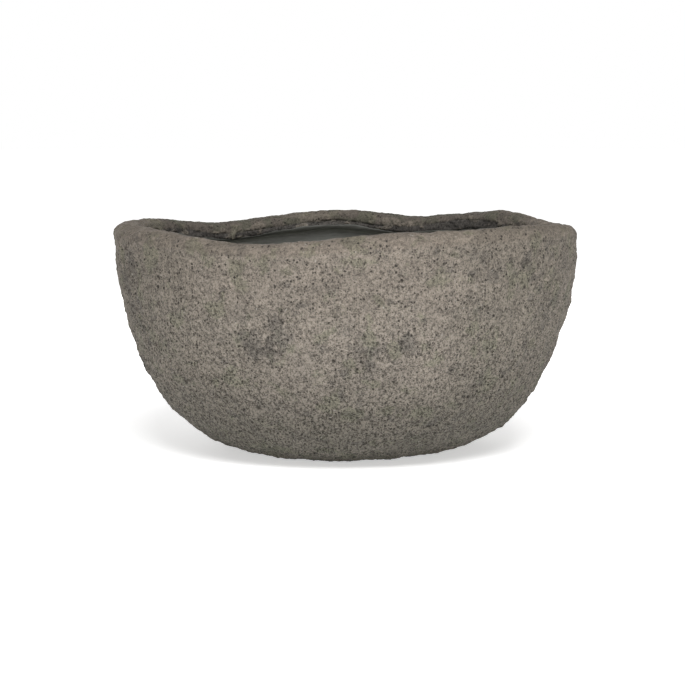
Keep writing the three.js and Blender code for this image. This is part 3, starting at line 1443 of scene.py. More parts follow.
@dataclass
class Casting:
    """The bowl itself: one thick, rough casting with a rolled lip.

    Attributes:
        form: The true form that it follows.
        columns: How many facets go round.
        step: The spacing of the rows that show.
        lip_step: The spacing of the rows on the lip.
        sole_step: The spacing of the rows on the underside.
        hidden_step: The spacing of the rows under the lining.
        inner_share: The share of the lip's width at which its inner side starts.
        hole_fade: How far out from the drain hole the sole's relief comes in.
        edge_fade: How far above the lining's edge the lip's relief comes in.
        swell: How high the slow unevenness of the hand-packed wall is.
        swell_field: That unevenness.
        knock: How deep the finger-sized dents are.
        knock_field: Those dents.
        inner_knock: How much deeper they are on the lip's inner side.
        knock_edge: How they come in there below the crest.
        crumb: How coarse the grain is.
        crumb_field: That grain.
        crease_drop: How far below the crest the crease in the lip's inner side lies.
        crease_width: The crease's half width.
        crease_wander: How far it wanders up and down.
        crease_wander_field: That wandering.
        crease_gaps: Where it is broken.
        crease_break: How that turns into depth.
        crease_runs: Where it runs, and how deep it is there.
        crease_climbs: Where it runs nearer to the crest, and by how much.
        smooth_band: How far down from the crest the trowelled band reaches outside.
        smooth_start: The share of that at which it starts to fade.
        rubbed_band: How far down its trace reaches.
        rubbed: How smooth the trace is.
        rubbed_wander: How far its edge wanders.
        rubbed_field: That wandering.
        lip_smooth: How smooth the lip's inner side is above the crease.
        foot_smooth: How smooth the lowest edge is.
        foot_edge: How that fades with the height.
        crowd_field: Where pits crowd.
        crowd_mean: How much they crowd on the whole.
        crowd_drift: How much that varies.
        crowd_smooth: How much less they crowd on smooth places.
        crowd_under: How much more below the crease.
        crowd_eaten: How much more where weather ate the wall.
        voids: The larger pits.
        void_depth: How much of their depth is open.
        pores: The common pits.
        pore_depth: How much of their depth is open.
        calm: How much of the relief smooth places lose.
        rugged: How much more of it eaten places have.
        flake: How far the flakes on the lip's inner side stand up.
        flake_blocks: The blocks that they break up into.
        flake_crumbs: The smaller crumbs on those, which count by flake_crumb.
        flake_crumb: How much the crumbs count.
        flake_squeeze: How much shorter than wide the blocks are, along each axis.
        flake_edge: Where the blocks stand up.
        flake_top: How they come in below the crest.
        flake_stray: How far the outlines of the crowds wander.
        flakes: Where they crowd, and where there are fewer of them.
        tongues: Where the stain there reaches further over the lip, and how far.
        stain_strength: How much of the paste the stain covers.
        stain_fray: How far its edge on top of the lip wanders.
        stain_fray_field: That wandering.
        stain_short: How much further down it stops at the front.
        stain_back: The distances back from the middle between which that fades.
        flake_bare: How much of it a flake has shed.
        stroke: The ridges that the maker's hands left, which rise to the right.
        stroke_field: Those ridges.
        stroke_length: How much longer than wide they are.
        stroke_lean: How steeply they rise, in degrees.
        scrape: The fine scrapes that run up the wall.
        scrape_field: Those scrapes.
        drag: How much longer than wide they are.
        pit_edge: How a pit's depth turns into painted shade.
        hidden_share: How much of the bake map the hidden rows keep.
        marks: The weathered patches on the front.
        mark_fray: How far their outlines wander.
        more_marks: How many more there are all round.
        more_ranges: The least and most of their bearing, height, reach and strength.
    """

    form: BowlForm
    columns: int = 1280
    step: float = 1.5 * MM
    lip_step: float = 1.1 * MM
    sole_step: float = 3 * MM
    hidden_step: float = 14 * MM
    inner_share: float = 0.6
    hole_fade: float = 8 * MM
    edge_fade: float = 3 * MM
    swell: float = 2.0 * MM
    swell_field: PairedGrain = PairedGrain(GrainField(95 * MM, 11), GrainField(42 * MM, 12), 0.45)
    knock: float = 1.4 * MM
    knock_field: PairedGrain = PairedGrain(GrainField(21 * MM, 13), GrainField(11 * MM, 14), 0.5)
    inner_knock: float = 0.8
    knock_edge: tuple[float, float] = (3 * MM, 8 * MM)
    crumb: float = 0.95 * MM
    crumb_field: PairedGrain = PairedGrain(GrainField(6.5 * MM, 15), GrainField(3.6 * MM, 16), 0.6)
    crease_drop: float = 15.5 * MM
    crease_width: float = 1.0 * MM
    crease_wander: float = 1.5 * MM
    crease_wander_field: GrainField = GrainField(30 * MM, 71)
    crease_gaps: PairedGrain = PairedGrain(GrainField(13 * MM, 72), GrainField(5 * MM, 74), 0.5)
    crease_break: tuple[float, float] = (-0.3, 0.1)
    crease_runs: tuple[RimWave, ...] = (
        RimWave(90, 2.6 * MM, 12),
        RimWave(52, 2.2 * MM, 10),
        RimWave(118, 1.2 * MM, 10),
        RimWave(10, 1.6 * MM, 16),
        RimWave(190, 1.8 * MM, 20),
        RimWave(262, 2.2 * MM, 24),
        RimWave(318, 1.8 * MM, 12),
    )
    crease_climbs: tuple[RimWave, ...] = (
        RimWave(52, 6 * MM, 13),
        RimWave(74, 2 * MM, 7),
        RimWave(148, 4 * MM, 10),
    )
    smooth_band: float = 24 * MM
    smooth_start: float = 0.45
    rubbed_band: float = 130 * MM
    rubbed: float = 0.45
    rubbed_wander: float = 22 * MM
    rubbed_field: GrainField = GrainField(48 * MM, 19)
    lip_smooth: float = 0.9
    foot_smooth: float = 0.6
    foot_edge: tuple[float, float] = (5 * MM, 16 * MM)
    crowd_field: GrainField = GrainField(34 * MM, 17)
    crowd_mean: float = 0.75
    crowd_drift: float = 0.7
    crowd_smooth: float = 0.4
    crowd_under: float = 0.8
    crowd_eaten: float = 0.5
    voids: BubbleField = BubbleField(13 * MM, 0.10, 0.22, 0.2, 21)
    void_depth: float = 0.75
    pores: BubbleField = BubbleField(5.2 * MM, 0.14, 0.40, 0.5, 22)
    pore_depth: float = 0.7
    calm: float = 0.4
    rugged: float = 0.9
    flake: float = 1.2 * MM
    flake_blocks: GrainField = GrainField(17 * MM, 75)
    flake_crumbs: GrainField = GrainField(6 * MM, 76)
    flake_crumb: float = 0.3
    flake_squeeze: tuple[float, float, float] = (1.0, 1.0, 2.4)
    flake_edge: tuple[float, float] = (0.32, 0.42)
    flake_top: tuple[float, float] = (2 * MM, 6 * MM)
    flake_stray: float = 2 * MM
    flakes: tuple[AgeMark, ...] = (
        AgeMark(70, 282 * MM, 8 * MM, 0.8),
        AgeMark(73.5, 281 * MM, 7 * MM, 0.7),
        AgeMark(77, 283 * MM, 8 * MM, 0.8),
        AgeMark(117, 279 * MM, 10 * MM, 0.8),
        AgeMark(128, 272 * MM, 9 * MM, 0.8),
        AgeMark(148, 277 * MM, 10 * MM, 0.7),
        AgeMark(57, 278 * MM, 24 * MM, -0.6),
        AgeMark(94, 276 * MM, 24 * MM, -0.5),
    )
    tongues: tuple[RimWave, ...] = (
        RimWave(149, 16 * MM, 9),
        RimWave(126, 10 * MM, 8),
        RimWave(54, 16 * MM, 11),
        RimWave(73, 15 * MM, 8),
        RimWave(28, 9 * MM, 8),
        RimWave(98, -16 * MM, 9),
    )
    stain_strength: float = 0.88
    stain_fray: float = 6 * MM
    stain_fray_field: GrainField = GrainField(24 * MM, 73)
    stain_short: float = 13 * MM
    stain_back: tuple[float, float] = (90 * MM, 190 * MM)
    flake_bare: float = 0.85
    stroke: float = 1.5 * MM
    stroke_field: GrainField = GrainField(24 * MM, 18)
    stroke_length: float = 3.0
    stroke_lean: float = 48.0
    scrape: float = 0.55 * MM
    scrape_field: GrainField = GrainField(6.5 * MM, 20)
    drag: float = 1.25
    pit_edge: tuple[float, float] = (0.15 * MM, 1.2 * MM)
    hidden_share: float = 0.1
    marks: tuple[AgeMark, ...] = (
        AgeMark(251, 157 * MM, 25 * MM, 1.2),
        AgeMark(254, 189 * MM, 20 * MM, 1.0),
        AgeMark(260, 126 * MM, 24 * MM, -1.4),
        AgeMark(251, 114 * MM, 22 * MM, -1.1),
        AgeMark(309, 180 * MM, 20 * MM, -0.9),
        AgeMark(314, 204 * MM, 20 * MM, -0.7),
        AgeMark(303, 160 * MM, 18 * MM, -0.5),
        AgeMark(305, 238 * MM, 22 * MM, 0.8),
        AgeMark(300, 200 * MM, 16 * MM, 0.5),
        AgeMark(205, 169 * MM, 28 * MM, 1.2),
        AgeMark(203, 222 * MM, 30 * MM, 1.2),
        AgeMark(208, 254 * MM, 22 * MM, 1.5),
        AgeMark(318, 250 * MM, 18 * MM, 1.1),
        AgeMark(196, 287 * MM, 26 * MM, -1.0),
        AgeMark(263, 192 * MM, 18 * MM, -0.7),
        AgeMark(274, 184 * MM, 17 * MM, -0.6),
        AgeMark(285, 246 * MM, 19 * MM, -0.6),
        AgeMark(286, 115 * MM, 28 * MM, -0.6),
        AgeMark(277, 114 * MM, 18 * MM, -0.5),
        AgeMark(234, 255 * MM, 22 * MM, -0.6),
        AgeMark(233, 189 * MM, 26 * MM, -0.5),
        AgeMark(232, 120 * MM, 24 * MM, -0.5),
        AgeMark(276, 149 * MM, 25 * MM, 1.0),
        AgeMark(285, 163 * MM, 17 * MM, 0.7),
        AgeMark(268, 112 * MM, 13 * MM, 0.5),
        AgeMark(328, 146 * MM, 26 * MM, 0.5),
        AgeMark(330, 205 * MM, 24 * MM, 0.8),
        AgeMark(245, 258 * MM, 15 * MM, 0.5),
        AgeMark(268, 232 * MM, 15 * MM, 0.4),
    )
    mark_fray: float = 9 * MM
    more_marks: int = 46
    more_ranges: tuple[tuple[float, float], ...] = (
        (-20, 195),
        (30 * MM, 270 * MM),
        (15 * MM, 30 * MM),
        (-1.1, 1.1),
    )

    def skin(self) -> tuple[TurnedSkin, np.ndarray]:
        """Turns the outline.

        Returns:
            The grid, and the zone of each row.
        """
        steps = {
            Zone.SOLE: self.sole_step,
            Zone.LIP: self.lip_step,
            Zone.FACE: self.lip_step,
            Zone.HOLLOW: 2 * self.lip_step,
            Zone.BONDED: self.hidden_step,
            Zone.DRAIN: self.hidden_step,
        }
        lines, zones = [], []
        for zone, line in self.form.stretches():
            points = spaced(line, steps.get(zone, self.step))
            lines.append(points)
            zones += [zone] * len(points)
        return TurnedSkin(np.concatenate(lines), self.columns), np.array(zones)

    def shown(self, skin: TurnedSkin, zones: np.ndarray) -> np.ndarray:
        """Gives how much relief each grid point may have.

        Args:
            skin: The grid.
            zones: The zone of each row.

        Returns:
            A share for each grid point, from 0 under the lining to 1 outside.
        """
        form = self.form
        edge = form.lap_height + form.felt(form.lining_edge, np.degrees(skin.bearings))
        height, radius = skin.per_row(skin.outline[:, 1]), skin.per_row(skin.outline[:, 0])
        zone = skin.per_row(zones)
        share = np.where(zone == Zone.FACE, smooth_rise(height - edge, 0.0, self.edge_fade), 1.0)
        share = np.where(np.isin(zone, [Zone.HOLLOW, Zone.BONDED, Zone.DRAIN]), 0.0, share)
        near_hole = smooth_rise(radius, form.drain_radius, form.drain_radius + self.hole_fade)
        return np.where(zone == Zone.SOLE, near_hole, share)

    def below_crest(self, places: np.ndarray) -> np.ndarray:
        """Gives how far below the crest points lie, and further where the crease climbs."""
        climbs = self.form.felt(self.crease_climbs, bearings_of(places))
        return self.form.rim_height - places[:, 2] + climbs

    def crease(self, places: np.ndarray, inside: np.ndarray) -> np.ndarray:
        """Gives the depth of the broken crease on the lip's inner side.

        Args:
            places: The round surface's points.
            inside: Which of them are on the lip's inner side.

        Returns:
            A depth for each point.
        """
        drop = self.below_crest(places)
        wander = self.crease_wander_field.at(places) * self.crease_wander
        away = (drop - self.crease_drop - wander) / self.crease_width
        broken = smooth_rise(self.crease_gaps.at(places), *self.crease_break)
        runs = self.form.felt(self.crease_runs, bearings_of(places))
        return np.where(inside, runs * np.exp(-(away**2)) * broken, 0.0)

    def weather(self, places: np.ndarray) -> np.ndarray:
        """Adds up the weathered patches.

        Args:
            places: The round surface's points.

        Returns:
            How dark each point is, negative where it is pale.
        """
        random = np.random.default_rng(81)
        draws = [random.uniform(*ends, self.more_marks) for ends in self.more_ranges]
        rest = [AgeMark(*draw) for draw in zip(*draws, strict=True)]
        return self.marked((*self.marks, *rest), places, self.mark_fray)

    def marked(self, marks: Iterable[AgeMark], places: np.ndarray, stray: float,
               radius: float | None = None) -> np.ndarray:
        """Adds up patches.

        Args:
            marks: The patches.
            places: The round surface's points.
            stray: How far the patches' outlines wander.
            radius: How far out their middles lie, or None for on the outside wall.

        Returns:
            The patches' strength at each point.
        """
        outline = self.form.belly()
        pushes = [GrainField(30 * MM, seed).at(places) for seed in (82, 83, 84)]
        pushed = places + stray * np.stack(pushes, axis=1)
        total = np.zeros(len(places))
        for mark in marks:
            out = radius or np.interp(mark.height, outline[:, 1], outline[:, 0])
            turn = math.radians(mark.bearing)
            middle = (out * math.cos(turn), out * math.sin(turn), mark.height)
            away = np.linalg.norm(pushed - middle, axis=1) / mark.reach
            total += mark.strength * np.exp(-(away**2))
        return total

    def plaques(self, places: np.ndarray) -> np.ndarray:
        """Gives where thin flakes of fresh paste stand on the lip's inner side, from 0 to 1.

        Args:
            places: The round surface's points.

        Returns:
            A share for each point.
        """
        blocks = self.flake_blocks.at(places * self.flake_squeeze)
        blocks += self.flake_crumb * self.flake_crumbs.at(places)
        blocks += self.marked(self.flakes, places, self.flake_stray, self.form.lip_inner_radius)
        drop = self.form.rim_height - places[:, 2]
        return smooth_rise(blocks, *self.flake_edge) * smooth_rise(drop, *self.flake_top)

    def strokes(self, places: np.ndarray) -> np.ndarray:
        """Gives the slanting ridges.

        Args:
            places: The round surface's points.

        Returns:
            A height for each point, from about -1 to 1.
        """
        lean = math.radians(self.stroke_lean)
        x, y, z = places.T
        along = x * math.cos(lean) + z * math.sin(lean)
        across = z * math.cos(lean) - x * math.sin(lean)
        return self.stroke_field.at(np.stack([along / self.stroke_length, y, across], axis=1))

    def smoothness(self, places: np.ndarray, inside: np.ndarray) -> np.ndarray:
        """Gives how smooth the trowel and the hands left the paste.

        Args:
            places: The round surface's points.
            inside: Which of them are on the lip's inner side.

        Returns:
            A share for each point.
        """
        drop = self.form.rim_height - places[:, 2]
        creased = smooth_rise(self.below_crest(places), self.crease_drop - 2 * MM,
                              self.crease_drop + 1 * MM)
        band = smooth_rise(drop, self.smooth_start * self.smooth_band, self.smooth_band)
        foot = 1.0 - smooth_rise(places[:, 2], *self.foot_edge)
        smooth = np.where(inside, self.lip_smooth * (1.0 - creased), 1.0 - band)
        smooth = np.maximum(smooth, self.foot_smooth * foot)
        uneven = drop + self.rubbed_wander * self.rubbed_field.at(places)
        trace = smooth_rise(uneven, self.smooth_band, self.rubbed_band)
        return np.maximum(smooth, self.rubbed * (1.0 - trace))

    def pits(self, places: np.ndarray, smooth: np.ndarray, under: np.ndarray,
             eaten: np.ndarray) -> np.ndarray:
        """Gives the depth of the open pits.

        Args:
            places: The round surface's points.
            smooth: How smooth each of them is.
            under: The share of each that lies below the crease.
            eaten: How much weather ate there.

        Returns:
            A depth for each point.
        """
        crowding = self.crowd_mean + self.crowd_drift * self.crowd_field.at(places)
        crowding += self.crowd_under * under + self.crowd_eaten * eaten - self.crowd_smooth * smooth
        voids = self.void_depth * self.voids.at(places, crowding)
        return np.maximum(voids, self.pore_depth * self.pores.at(places, crowding))

    def relief(self, skin: TurnedSkin, inside: np.ndarray, rough: np.ndarray) -> np.ndarray:
        """Gives the height of everything that stands up from the round surface.

        Args:
            skin: The grid.
            inside: Which of its points are on the lip's inner side.
            rough: How rough each of them is.

        Returns:
            A height for each point.
        """
        places = skin.places
        knock = self.knock_field.at(places)
        relief = self.swell * self.swell_field.at(places)
        relief += self.stroke * self.strokes(places) * rough
        relief += (self.knock * knock + self.crumb * self.crumb_field.at(places)) * rough
        relief += self.scrape * self.scrape_field.at(skin.unrolled(self.drag)) * rough
        low_enough = smooth_rise(self.form.rim_height - places[:, 2], *self.knock_edge)
        dents = self.inner_knock * self.knock * knock * low_enough
        return relief + np.where(inside, self.flake * self.plaques(places) + dents, 0.0)

    def build(self) -> bpy.types.Object:
        """Makes the casting's mesh, with its relief as real geometry.

        Returns:
            The piece.
        """
        skin, zones = self.skin()
        outward = self.shown(skin, zones)
        inner_radius = self.form.rim_radius - self.form.lip_width * self.inner_share
        over = (zones == Zone.LIP) & (skin.outline[:, 0] < inner_radius)
        inside = skin.per_row((zones == Zone.FACE) | over)
        smooth = self.smoothness(skin.places, inside)
        creased = smooth_rise(self.below_crest(skin.places), self.crease_drop - 1 * MM,
                              self.crease_drop + 1 * MM)
        under = np.where(inside, creased, 0.0)
        weather = self.weather(skin.places)
        eaten = np.clip(weather, 0.0, 1.0)
        depth = self.pits(skin.places, smooth, under, eaten) + self.crease(skin.places, inside)
        rough = (1.0 - self.calm * smooth) * (1.0 + self.rugged * eaten)
        raised = (self.relief(skin, inside, rough) - depth) * outward
        places = self.form.by_hand(skin.places) + skin.normals * raised[:, None]
        places[:, 2] = np.maximum(places[:, 2], 0.0)
        readings = {
            # The pits' painted shade, which the finish lays on.
            "pit": smooth_rise(depth * outward, *self.pit_edge),
            "stain": self.stain(skin.places, inside, under),
            "under": under,
            "smooth": smooth,
            "weather": weather,
            "wall": skin.unrolled(self.drag),
        }
        seen = np.where(zones == Zone.BONDED, self.hidden_share, 1.0)
        piece = skin.as_object("casting", places, skin.spacing() * seen, readings)
        set_finish(piece, CastConcrete().make())
        return piece

    def stain(self, places: np.ndarray, inside: np.ndarray, under: np.ndarray) -> np.ndarray:
        """Gives the share of old stain, which covers the lip's inner side and fades over its top.

        Args:
            places: The round surface's points.
            inside: Which of them are on the lip's inner side.
            under: The share of each that lies below the crease.

        Returns:
            A share for each point.
        """
        form = self.form
        radius = np.hypot(places[:, 0], places[:, 1])
        crest = form.rim_radius - form.lip_width / 2
        ragged = self.stain_fray_field.at(places) * self.stain_fray
        short = self.stain_short * (1.0 - smooth_rise(places[:, 1], *self.stain_back))
        reached = radius + ragged + short - form.felt(self.tongues, bearings_of(places))
        over = smooth_rise(reached, crest + 4 * MM, form.lip_inner_radius + 3 * MM)
        worn = 1.0 - self.flake_bare * self.plaques(places)
        top = places[:, 2] > form.lip_edge_height - form.lip_depth
        stained = inside | (top & (radius < form.rim_radius - 2 * MM))
        return np.where(stained, self.stain_strength * np.maximum(over, under) * worn, 0.0)


@dataclass
class Lining:
    """The waterproof skin bonded to the inside, with a ragged brushed edge on the lip.

    Attributes:
        form: The true form that it follows.
        columns: How many facets go round.
        step: The spacing of the rows on the open side.
        hidden_step: The spacing of the rows on the bonded side.
        ripple: How far the brushed surface rises and falls.
        ripple_field: That rise and fall.
        ripple_start: How it comes in outside the drain hole.
        ragged: How far the upper edge wanders up and down.
        ragged_field: That wandering.
        edge_slide: How the edge's own waves fade along the lining.
        edge_width: How the feathered edge fades along it.
        edge_thickness: What is left of the thickness at the edge.
        hidden_share: How much of the bake map the bonded rows keep.
        dust: Where that pale colour lies below the edge, strong in the hollow under the lip and
            weaker further down the wall: painted light.
        grime_and_shade: A darker band below the hollow under the lip: painted shade.
        edge_grime: How strong the dirt is on the edge itself.
        edge_grime_width: How that fades.
    """

    form: BowlForm
    columns: int = 512
    step: float = 3 * MM
    hidden_step: float = 14 * MM
    ripple: float = 0.35 * MM
    ripple_field: PairedGrain = PairedGrain(GrainField(45 * MM, 31), GrainField(16 * MM, 32), 0.5)
    ripple_start: tuple[float, float] = (25 * MM, 45 * MM)
    ragged: float = 1.6 * MM
    ragged_field: PairedGrain = PairedGrain(GrainField(28 * MM, 33), GrainField(9 * MM, 34), 0.6)
    edge_slide: tuple[float, float] = (2 * MM, 60 * MM)
    edge_width: tuple[float, float] = (1 * MM, 5 * MM)
    edge_thickness: float = 0.9 * MM
    hidden_share: float = 0.1
    # Painted light: the first band lifts the hollow under the lip, the second the wall below it.
    dust: tuple[Band, ...] = (
        Band(4 * MM, 8 * MM, 19 * MM, 26 * MM),
        Band(29 * MM, 40 * MM, 60 * MM, 110 * MM, 0.30),
    )
    # Painted shade: a darker band below the hollow under the lip.
    grime_and_shade: Band = Band(21 * MM, 25 * MM, 26 * MM, 37 * MM, 0.3)
    edge_grime: float = 0.6
    edge_grime_width: tuple[float, float] = (3 * MM, 6 * MM)

    def build(self) -> bpy.types.Object:
        """Makes the lining's mesh.

        Returns:
            The piece.
        """
        form = self.form
        line = form.bonded_line()
        side = left_of(line)
        bonded = line + side * form.bond_gap
        opened = line + side * (form.bond_gap + form.lining_thickness)
        turn = int(np.argmax(line[:, 1] >= form.hollow_foot))
        near = self.step / 2
        glued = [spaced(bonded[: turn + 1], self.hidden_step), spaced(bonded[turn:], near)]
        glued = np.concatenate([*glued, bonded[-1:]])
        free = [spaced(opened[turn:][::-1], near), spaced(opened[: turn + 1][::-1], self.step)]
        free = np.concatenate([*free, opened[:1]])
        skin = TurnedSkin(np.concatenate([glued, free]), self.columns)
        back_rows = len(glued)
        lengths = skin.lengths()
        away = skin.per_row(lengths - (lengths[back_rows - 1] + lengths[back_rows]) / 2)
        drop = -form.felt(form.lining_edge, np.degrees(skin.bearings))
        skin.slide(np.sign(away) * drop * (1.0 - smooth_rise(np.abs(away), *self.edge_slide)))
        places = skin.places
        front = skin.per_row(np.arange(skin.rows) >= back_rows).astype(float)
        near_edge = 1.0 - smooth_rise(np.abs(away), *self.edge_width)
        radius = np.hypot(places[:, 0], places[:, 1])
        wet = front * smooth_rise(radius, *self.ripple_start) * (1.0 - near_edge)
        feather = near_edge * front * (form.lining_thickness - self.edge_thickness)
        raised = self.ripple * self.ripple_field.at(places) * wet - feather
        ragged = self.ragged * self.ragged_field.at(places * (1, 1, 0)) * near_edge
        places = form.by_hand(places) + skin.normals * raised[:, None]
        places[:, 2] += ragged
        seen = np.where(np.arange(skin.rows) >= back_rows - 1, 1.0, self.hidden_share)
        edge_grime = 1.0 - smooth_rise(np.abs(away), *self.edge_grime_width)
        readings = {
            # Painted light: a pale colour in the hollow under the lip and fading down the wall
            # below it.
            "dust": front * sum(band.at(away) for band in self.dust),
            # Dirt on the edge itself, and painted shade in a band below the hollow.
            "grime_and_shade": self.edge_grime * edge_grime + front * self.grime_and_shade.at(away),
        }
        piece = skin.as_object("bonded_lining", places, skin.spacing() * seen, readings)
        set_finish(piece, BrushedResin().make())
        return piece


@dataclass
class Stopper:
    """The rubber stopper in the drain hole: tapered shank, flange and mushroom grip.

    Attributes:
        low: The lowest corner of the solid that it stands for.
        high: The highest corner.
        drain_radius: The hole that it closes.
        seat: The height of the flange's underside.
        columns: How many facets go round.
        step: The spacing of the rows.
        clearance: Between the shank and the hole.
        taper: How much thinner the shank's tip is.
        tip_bevel: The bevel of the tip.
        flange_thickness: The flange.
        flange_bevel: The bevel of its lower edge.
        flange_round: The rounding of its upper edge.
        groove_depth: The ring groove in its top.
        groove_width: Half that groove's width at the top.
        groove_floor: Half its width at the bottom.
        neck_radius: The grip's neck.
        neck_round: The rounding at its foot.
        grip_radius: The grip's head.
        grip_undercut: How far the head's underside slopes up and in.
        head_height: The head's height.
        dimple: How deep the dimple in its top is.
        dimple_radius: How wide that is.
        bore: The radius at which the outline is closed in the middle.
        arc_points: How many points a rounding has.
    """

    low: Point
    high: Point
    drain_radius: float
    seat: float
    columns: int = 128
    step: float = 0.5 * MM
    clearance: float = 0.3 * MM
    taper: float = 1.5 * MM
    tip_bevel: float = 2 * MM
    flange_thickness: float = 4 * MM
    flange_bevel: float = 0.5 * MM
    flange_round: float = 1.5 * MM
    groove_depth: float = 0.7 * MM
    groove_width: float = 1.4 * MM
    groove_floor: float = 0.7 * MM
    neck_radius: float = 4 * MM
    neck_round: float = 1.2 * MM
    grip_radius: float = 6.5 * MM
    grip_undercut: tuple[float, float] = (0.6 * MM, 0.8 * MM)
    head_height: float = 5 * MM
    dimple: float = 1 * MM
    dimple_radius: float = 2.2 * MM
    bore: float = 0.4 * MM
    arc_points: int = 10

    def outline(self) -> np.ndarray:
        """Gives the stopper's outline, from the middle of its tip up to the middle of its grip.

        Returns:
            Its points.
        """
        low, top = self.low[2], self.seat + self.flange_thickness
        flange, shank = self.high[0], self.drain_radius - self.clearance
        tip = shank - self.taper
        head_base = self.high[2] - self.head_height
        turn = np.radians(np.linspace(0, 90, self.arc_points))
        edge = np.stack([np.cos(turn), np.sin(turn)], axis=1) * self.flange_round
        edge += (flange - self.flange_round, top - self.flange_round)
        middle, floor = (flange + self.neck_radius) / 2, top - self.groove_depth
        groove = [
            [middle + self.groove_width, top],
            [middle + self.groove_floor, floor],
            [middle - self.groove_floor, floor],
            [middle - self.groove_width, top],
        ]
        neck = np.stack([1 - np.sin(turn), 1 - np.cos(turn)], axis=1) * self.neck_round
        neck += (self.neck_radius, top)
        inward, downward = self.grip_undercut
        head = np.stack([np.cos(turn) * self.grip_radius, np.sin(turn) * self.head_height], axis=1)
        head += (0.0, head_base)
        return np.concatenate([
            [[self.bore, low], [tip - self.tip_bevel, low], [tip, low + self.tip_bevel]],
            [[shank, self.seat], [flange - self.flange_bevel, self.seat]],
            [[flange, self.seat + self.flange_bevel]],
            edge,
            groove,
            neck,
            [[self.neck_radius, head_base - downward], [self.grip_radius - inward, head_base]],
            head[head[:, 0] > self.dimple_radius],
            [[self.bore, self.high[2] - self.dimple]],
        ])

    def build(self) -> bpy.types.Object:
        """Makes the stopper's mesh.

        Returns:
            The piece.
        """
        line = self.outline()
        skin = TurnedSkin(spaced(np.concatenate([line, line[:1]]), self.step), self.columns)
        piece = skin.as_object("rubber_stopper", skin.places, skin.spacing(), {})
        set_finish(piece, MouldedRubber().make())
        return piece


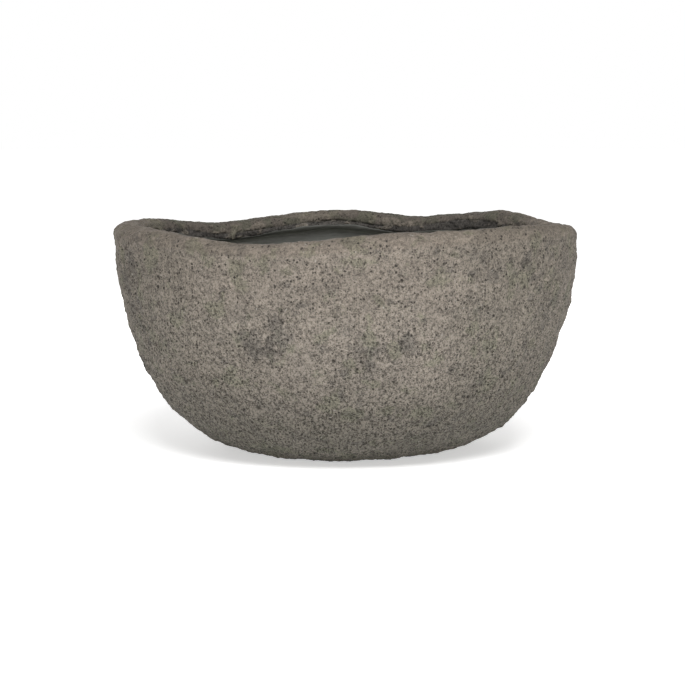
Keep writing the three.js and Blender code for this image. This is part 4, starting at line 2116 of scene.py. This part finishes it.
@dataclass
class Studio:
    """The camera, the floor and the soft light.

    Attributes:
        target_height: The height that the lights point at.
        camera_place: Where the camera stands.
        camera_tilt: How far it looks down, in degrees.
        lens: Its focal length, in millimetres on a 36 mm frame.
        floor_radius: How far the floor reaches.
        floor_sides: How many sides it has.
        floor_gap: How far it lies below the sole, so that the two share no plane.
        sky_low: The light from the horizon.
        sky_high: The light from overhead.
        sky_turn: The upward slopes between which the one turns into the other.
        front_place: Where the front box hangs.
        front_size: Its width and height.
        front_light: Its power, in watts.
        back_place: Where the back box hangs.
        back_size: Its width and height.
        back_light: Its power, in watts.
    """

    target_height: float = 0.15
    camera_place: tuple[float, float, float] = (-4.4 * MM, -2.6, 420.6 * MM)
    camera_tilt: float = 6.26
    lens: float = 105.0
    floor_radius: float = 30.0
    floor_sides: int = 96
    floor_gap: float = 0.3 * MM
    sky_low: float = 1.0
    sky_high: float = 0.34
    sky_turn: tuple[float, float] = (0.10, 0.36)
    front_place: tuple[float, float, float] = (0.29, -2.3, 2.6)
    front_size: tuple[float, float] = (1.8, 1.3)
    front_light: float = 114.0
    back_place: tuple[float, float, float] = (-0.6, 2.4, 0.6)
    back_size: tuple[float, float] = (1.8, 0.8)
    back_light: float = 24.0

    def camera(self) -> None:
        """Sets the camera where the photograph was taken from."""
        data = bpy.data.cameras.new("camera")
        data.lens = self.lens
        camera = bpy.data.objects.new("camera", data)
        camera.location = self.camera_place
        camera.rotation_euler = (math.radians(90 - self.camera_tilt), 0.0, 0.0)
        bpy.context.scene.collection.objects.link(camera)
        bpy.context.scene.camera = camera

    def floor(self) -> None:
        """Lays the floor, a wide round sheet."""
        turns = [FULL_TURN * side / self.floor_sides for side in range(self.floor_sides)]
        out, down = self.floor_radius, -self.floor_gap
        rim = [(out * math.cos(turn), out * math.sin(turn), down) for turn in turns]
        mesh = bpy.data.meshes.new("floor")
        mesh.from_pydata(rim, [], [list(range(self.floor_sides))])
        floor = bpy.data.objects.new("floor", mesh)
        bpy.context.scene.collection.objects.link(floor)
        set_finish(floor, PaleFloor().make())

    def lamp(self, name: str, place: Point, size: tuple[float, float], watts: float) -> None:
        """Hangs one soft box that points at the bowl.

        Args:
            name: What it is called.
            place: Where it hangs.
            size: Its width and height.
            watts: Its power.
        """
        data = bpy.data.lights.new(name, "AREA")
        data.shape = "RECTANGLE"
        data.size, data.size_y = size
        data.energy = watts
        lamp = bpy.data.objects.new(name, data)
        lamp.location = place
        away = np.array(place) - (0.0, 0.0, self.target_height)
        across = math.hypot(away[0], away[1])
        lamp.rotation_euler = (math.atan2(across, away[2]), 0.0, math.atan2(away[0], -away[1]))
        bpy.context.scene.collection.objects.link(lamp)

    def sky(self) -> None:
        """Surrounds the studio with white light that is weaker from above than from the horizon."""
        world = bpy.data.worlds.new("studio")
        world.use_nodes = True
        tree = world.node_tree
        direction = tree.nodes.new("ShaderNodeTexCoord")
        split = tree.nodes.new("ShaderNodeSeparateXYZ")
        level = tree.nodes.new("ShaderNodeMapRange")
        tree.links.new(direction.outputs["Generated"], split.inputs["Vector"])
        tree.links.new(split.outputs["Z"], level.inputs["Value"])
        levels = (*self.sky_turn, self.sky_low, self.sky_high)
        for label, number in zip(("From Min", "From Max", "To Min", "To Max"), levels, strict=True):
            level.inputs[label].default_value = number
        tree.links.new(level.outputs["Result"], tree.nodes["Background"].inputs["Strength"])
        tree.nodes["Background"].inputs["Color"].default_value = (1.0, 1.0, 1.0, 1.0)
        bpy.context.scene.world = world

    def build(self) -> None:
        """Sets up camera, floor and light."""
        self.camera()
        self.floor()
        self.lamp("front_box", self.front_place, self.front_size, self.front_light)
        self.lamp("back_box", self.back_place, self.back_size, self.back_light)
        self.sky()
        bpy.context.scene.view_settings.view_transform = "Standard"


def settle(piece: bpy.types.Object, body: str, node: str) -> None:
    """Ties a finished piece to the body it moves with, and hides the solid it stands for.

    Args:
        piece: The piece.
        body: The body's name.
        node: The solid's name.
    """
    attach(piece, body)
    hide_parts(node)
    faces = len(piece.data.polygons)
    log.info("%s: %d faces, rides on %s, stands for %s", piece.name, faces, body, node)


def main() -> None:
    """Builds the studio, the casting, the lining and the stopper."""
    shell_low, shell_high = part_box("bowl_shell")
    lining_low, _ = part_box("inner_lining")
    plug_low, plug_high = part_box("drain_plug")
    form = BowlForm(rim_radius=(shell_high[0] - shell_low[0]) / 2, drain_radius=DRAIN_RADIUS)
    seat = lining_low[2] + form.lining_thickness + SEAT_GAP
    Studio().build()
    settle(Casting(form).build(), "bowl", "bowl_shell")
    settle(Lining(form).build(), "bowl", "inner_lining")
    stopper = Stopper(tuple(plug_low), tuple(plug_high), form.drain_radius, seat)
    settle(stopper.build(), "stopper", "drain_plug")


if __name__ == "__main__":
    logging.basicConfig(level=logging.INFO, format="%(name)s: %(message)s")
    main()
